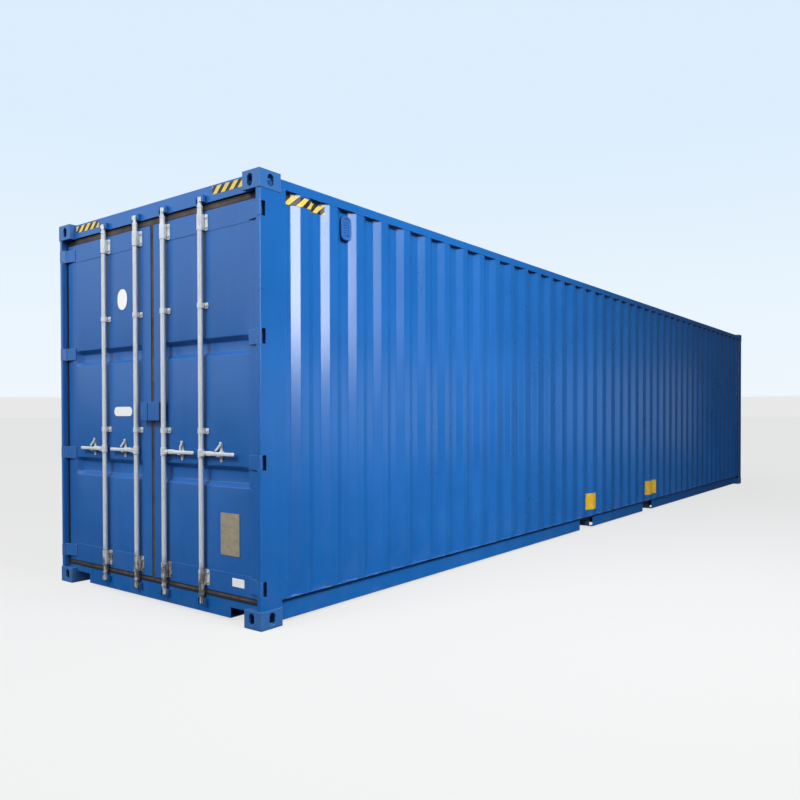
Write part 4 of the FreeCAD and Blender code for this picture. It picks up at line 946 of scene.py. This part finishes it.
finish_piece(bm, "seal_overlap", "door_right", seal_rubber)
print("seals done")

# %% [markdown]
# ## Ventilator
#
# A moulded cover keeps rain out of a few small holes. It has rounded ends, a raised rim round a
# dished middle, and a row of slots on its underside.

# %% Ventilators
for hand, sign in HANDS.items():
    low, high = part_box(f"ventilator_{hand}")
    outer_face = abs(low.y if sign < 0 else high.y)
    wall_face = side_trough

    def ventilator_section(inset, grow, corner):
        ring = rounded_box((low.x - grow, low.z - grow), (high.x + grow, high.z + grow), corner)
        return [Vector((x, sign * inset, z)) for x, z in ring]

    bm = bmesh.new()
    lofted(bm, [ventilator_section(wall_face - 0.0005, -0.021, 0.02), ventilator_section(outer_face - 0.016, 0.0, 0.036),
                ventilator_section(outer_face - 0.005, 0.0, 0.036), ventilator_section(outer_face - 0.001, -0.003, 0.034),
                ventilator_section(outer_face, -0.007, 0.030), ventilator_section(outer_face - 0.0005, -0.012, 0.026),
                ventilator_section(outer_face - 0.0045, -0.016, 0.022)])
    for level in spaced(low.z + 0.040, high.z - 0.040, 0.022):
        slat = rounded_box((low.x + 0.024, level - 0.0035), (high.x - 0.024, level + 0.0035), 0.003)
        prism(bm, slat, "xz", *sorted((sign * (outer_face - 0.006), sign * (outer_face - 0.0022))))
    for level in (low.z + 0.020, high.z - 0.020):
        bolt(bm, ((low.x + high.x) / 2, sign * (outer_face - 0.0046), level), (0, sign, 0), 0.005, 0.004)
    cover = finish_piece(bm, f"ventilator_{hand}_moulded", "root", vent_finish, 30)
    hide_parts(f"ventilator_{hand}")
print("ventilator", tuple(round(v, 3) for v in high - low), "m")

# %% [markdown]
# ## Weld beads
#
# The box is held together by welds. A bead is a thin ripple of metal in an inside corner, and the
# eye reads it as the line where two parts meet. Each bead here is a tube whose radius swells and
# shrinks along its length.

# %% Beads


def bead_run(bm, start, end, radius=0.0035, pitch=0.02):
    start, end = Vector(start), Vector(end)
    length = (end - start).length
    stations = spaced(0.0, length, pitch)
    profile = [(radius * (0.9 + 0.2 * noise.noise(Vector((distance * 40, start.x, start.z)))), distance)
               for distance in stations]
    turned(bm, start, (end - start).normalized(), profile, 6)


bm = bmesh.new()
for sign in HANDS.values():
    line_y = sign * side_trough
    for level in (wall_high.z, wall_low.z):
        for foot, head in zip(side_line, side_line[1:]):
            ends = [(x, sign * (side_trough + depth), level) for x, depth in (foot, head)]
            bead_run(bm, *ends, 0.003, 0.05)
    bead_run(bm, (wall_low.x, line_y, wall_low.z), (wall_low.x, line_y, wall_high.z), 0.0035, 0.04)
    bead_run(bm, (wall_high.x, line_y, wall_low.z), (wall_high.x, line_y, wall_high.z), 0.0035, 0.04)
for corner in CORNERS:
    low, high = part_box(f"casting_bottom_{corner}")
    top_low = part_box(f"casting_top_{corner}")[0]
    outer_x = low.x + 0.0046 if low.x < 0 else high.x - 0.0046
    inner_x = high.x if low.x < 0 else low.x
    outer_y = low.y + 0.0046 if low.y < 0 else high.y - 0.0046
    for level in (high.z, top_low.z):
        bead_run(bm, (outer_x, outer_y, level), (inner_x, outer_y, level), 0.004, 0.01)
        bead_run(bm, (outer_x, outer_y, level), (outer_x, outer_y + math.copysign(0.034, -outer_y), level), 0.004, 0.01)
finish_piece(bm, "weld_beads", "root", frame_paint, 60)
print("weld beads laid")

# %% [markdown]
# ## Films and plates
#
# Stripes warn of the extra height, and films mark the fork pockets. Films on the wall are pressed
# onto its waves, so they are built from the same line, half a millimetre further out. All
# lettering is left off; the plates and films stay blank.

# %% Films
FILM = 0.0006


def line_between(line, low, high):
    """The part of a line between two places along it."""

    def level(at):
        for (a, h), (b, k) in zip(line, line[1:]):
            if a <= at <= b:
                return h + (k - h) * (at - a) / (b - a)
        return 0.0

    inner = [point for point in line if low < point[0] < high]
    return [(low, level(low)), *inner, (high, level(high))]


def wall_film(name, centre, width, foot, head, finish):
    smooth_line = eased(side_line, 0.008)
    for hand, sign in HANDS.items():
        bm = bmesh.new()
        part = line_between(smooth_line, centre - width / 2, centre + width / 2)
        pressed_sheet(bm, part, [foot, (foot + head) / 2, head],
                      lambda along, height, row: (along, sign * (side_trough + height + FILM * 2.5), row), thickness=FILM)
        finish_piece(bm, f"{name}_{hand}", "root", finish, 40)


wall_film("height_stripes_side", REAR + 0.425, 0.35, 2.730, 2.792, stripes_on_side)
wall_film("pocket_film_rear", REAR + 5.07, 0.36, 0.235, 0.425, yellow_film)
wall_film("pocket_film_front", REAR + 7.12, 0.36, 0.235, 0.425, yellow_film)


def door_film(name, body, y_ends, z_ends, depth, corner, finish, thickness=FILM):
    bm = bmesh.new()
    outline = rounded_box((min(y_ends), min(z_ends)), (max(y_ends), max(z_ends)), corner)
    prism(bm, outline, "yz", behind(depth - thickness), behind(depth - 0.0001))
    return finish_piece(bm, name, body, finish)


for hand, sign in HANDS.items():
    door_film(f"height_stripes_end_{hand}", "root", (sign * 0.70, sign * 1.03), (2.826, 2.878), 0.046, 0.002, stripes_on_end)
PANEL_FACE = LEAF_FACE + PANEL_SET_BACK - 0.002
half_width = abs(RIGHT)
door_film("oval_film", "door_left", (half_width - 0.770, half_width - 0.895), (2.153, 2.311), PANEL_FACE, 0.0622, white_film)
door_film("bar_film", "door_left", (half_width - 0.715, half_width - 0.955), (1.350, 1.420), PANEL_FACE, 0.0345, white_film)
door_film("small_film", "door_right", (half_width - 2.100, half_width - 2.220), (0.232, 0.288), LEAF_FACE, 0.003, white_film)
door_film("data_plate", "door_right", (half_width - 1.985, half_width - 2.175), (0.430, 0.710), PANEL_FACE, 0.006, plate_metal, 0.0018)
bm = bmesh.new()
for y in (half_width - 1.995, half_width - 2.165):
    for z in (0.440, 0.570, 0.700):
        turned(bm, (behind(PANEL_FACE - 0.0018), y, z), (-1, 0, 0), [(0.004, 0), (0.0036, 0.0012), (0.002, 0.0018)], 12)
finish_piece(bm, "plate_rivets", "door_right", plate_edge)
print("films and plates placed")

# %% [markdown]
# ## Stage, light and camera
#
# The floor is plain and pale, with an even glow of its own so that shadows stay faint. Four lamps
# are soft boxes. One stands high before the doors and throws the short shadows of the rods. One
# stands beside the near end of the long wall, so that the wall darkens towards its far end. A
# narrow one is there only to be mirrored in the first slopes of the wall, so it throws no light on
# matt surfaces. The last is low and wide and fills the wall a little. The sky gives the rest.

# %% Floor
bm = bmesh.new()
bmesh.ops.create_grid(bm, x_segments=1, y_segments=1, size=400.0)
floor_mesh = bpy.data.meshes.new("studio_floor")
bm.to_mesh(floor_mesh)
bm.free()
studio_floor = bpy.data.objects.new("studio_floor", floor_mesh)
bpy.context.scene.collection.objects.link(studio_floor)
studio_floor.location = (0, 0, -0.0005)
studio_floor.visible_diffuse = False
studio_floor.visible_glossy = False
floor_finish, tree, shader = new_finish("studio_floor", Roughness=1.0, Specular_IOR_Level=0.0)
shader.inputs["Base Color"].default_value = rgb(0.12, 0.12, 0.12)
shader.inputs["Emission Color"].default_value = rgb(1.0, 1.0, 1.0)
shader.inputs["Emission Strength"].default_value = 0.70
floor_mesh.materials.append(floor_finish)

# %% Sky
world = bpy.data.worlds.new("soft_sky")
world.use_nodes = True
bpy.context.scene.world = world
sky = world.node_tree
direction = node(sky, "TexCoord").outputs["Generated"]
parts = node(sky, "SeparateXYZ", {0: direction})
upward = parts.outputs["Z"]


def gradient(tree, value, stops):
    made = node(tree, "ValToRGB", {0: value})
    ramp = made.color_ramp
    ramp.elements[0].position, ramp.elements[0].color = stops[0][0], rgb(*stops[0][1])
    ramp.elements[1].position, ramp.elements[1].color = stops[-1][0], rgb(*stops[-1][1])
    for position, colour in stops[1:-1]:
        ramp.elements.new(position).color = rgb(*colour)
    return made.outputs[0]


FAR_FLOOR = (0.81, 0.81, 0.815)
backdrop = gradient(sky, remap(sky, upward, 0.0, 0.4),
                    ((0.0, FAR_FLOOR), (0.052, FAR_FLOOR), (0.056, (0.87, 0.93, 0.99)), (0.38, (0.81, 0.91, 0.99)),
                     (0.85, (0.72, 0.85, 0.98))))
behind_doors = remap(sky, parts.outputs["X"], 0.05, -0.55)
high_sky = remap(sky, upward, 0.35, 0.85)
glow = gradient(sky, remap(sky, upward, -0.05, 0.45), ((0.0, (0.02, 0.02, 0.022)), (0.11, (0.14, 0.15, 0.16)),
                                                       (0.22, (0.80, 0.84, 0.88)), (1.0, (1.02, 1.04, 1.06))))
dark_side = mixed(sky, high_sky, rgb(0.05, 0.06, 0.075), rgb(0.64, 0.68, 0.72))
dark_side = mixed(sky, remap(sky, upward, -0.05, 0.05), rgb(0.02, 0.02, 0.022), dark_side)
surround = mixed(sky, behind_doors, dark_side, glow)
seen = node(sky, "LightPath").outputs["Is Camera Ray"]
background = sky.nodes["Background"]
sky.links.new(mixed(sky, seen, surround, backdrop), background.inputs["Color"])
background.inputs["Strength"].default_value = 1.0
print("floor and sky ready")

# %% Lamps


def lamp(name, place, target, width, height, radiance, spread=180, mirrored=True):
    """A soft box; its power follows from how bright its face is to be."""
    light = bpy.data.lights.new(name, "AREA")
    light.shape = "RECTANGLE"
    light.size, light.size_y = width, height
    light.energy = radiance * math.pi * width * height
    light.spread = math.radians(spread)
    held = bpy.data.objects.new(name, light)
    bpy.context.scene.collection.objects.link(held)
    held.location = place
    held.rotation_mode = "QUATERNION"
    held.rotation_quaternion = (Vector(target) - Vector(place)).to_track_quat("-Z", "Y")
    held.visible_glossy = mirrored
    return held


lamp("door_lamp", (REAR - 5.5, 0.3, 7.0), (REAR, 0.0, 1.8), 2.4, 2.0, 27.5, mirrored=False)
lamp("side_lamp", (REAR + 1.0, RIGHT - 6.5, 6.2), (REAR + 2.0, RIGHT, 1.0), 3.6, 2.4, 8.8, spread=90, mirrored=False)
glint = lamp("slope_lamp", (REAR - 1.12, RIGHT - 8.0, 4.1), (REAR + 0.4, RIGHT, 3.2), 1.4, 3.4, 19.0)
glint.visible_diffuse = False
lamp("side_glow", (REAR + 8.5, RIGHT - 8.0, 1.5), (REAR + 3.0, RIGHT, 1.36), 7.0, 2.0, 0.7)

# %% [markdown]
# The camera stands before the door end, a little out from the near side, at eye height.

# %% Camera
STAND_OFF = Vector((-3.069, -3.525, 1.358))
HEADING = 36.528
TILT = -0.729
ROLL = -0.10

view = bpy.data.cameras.new("camera")
view.sensor_width = 36.0
view.lens = 33.0
view.shift_x = -0.0275
view.shift_y = 0.0298
view.clip_end = 1000.0
camera = bpy.data.objects.new("camera", view)
bpy.context.scene.collection.objects.link(camera)
heading, tilt = math.radians(HEADING), math.radians(TILT)
ahead = Vector((math.cos(tilt) * math.cos(heading), math.cos(tilt) * math.sin(heading), math.sin(tilt)))
right = ahead.cross(Vector((0, 0, 1))).normalized()
up = right.cross(ahead)
turn = Matrix((right, up, -ahead)).transposed().to_4x4() @ Matrix.Rotation(math.radians(ROLL), 4, "Z")
camera.matrix_world = Matrix.Translation(Vector((REAR, RIGHT, 0)) + STAND_OFF) @ turn
bpy.context.scene.camera = camera
bpy.context.scene.view_settings.view_transform = "Standard"
print("camera at", tuple(round(v, 3) for v in camera.location))
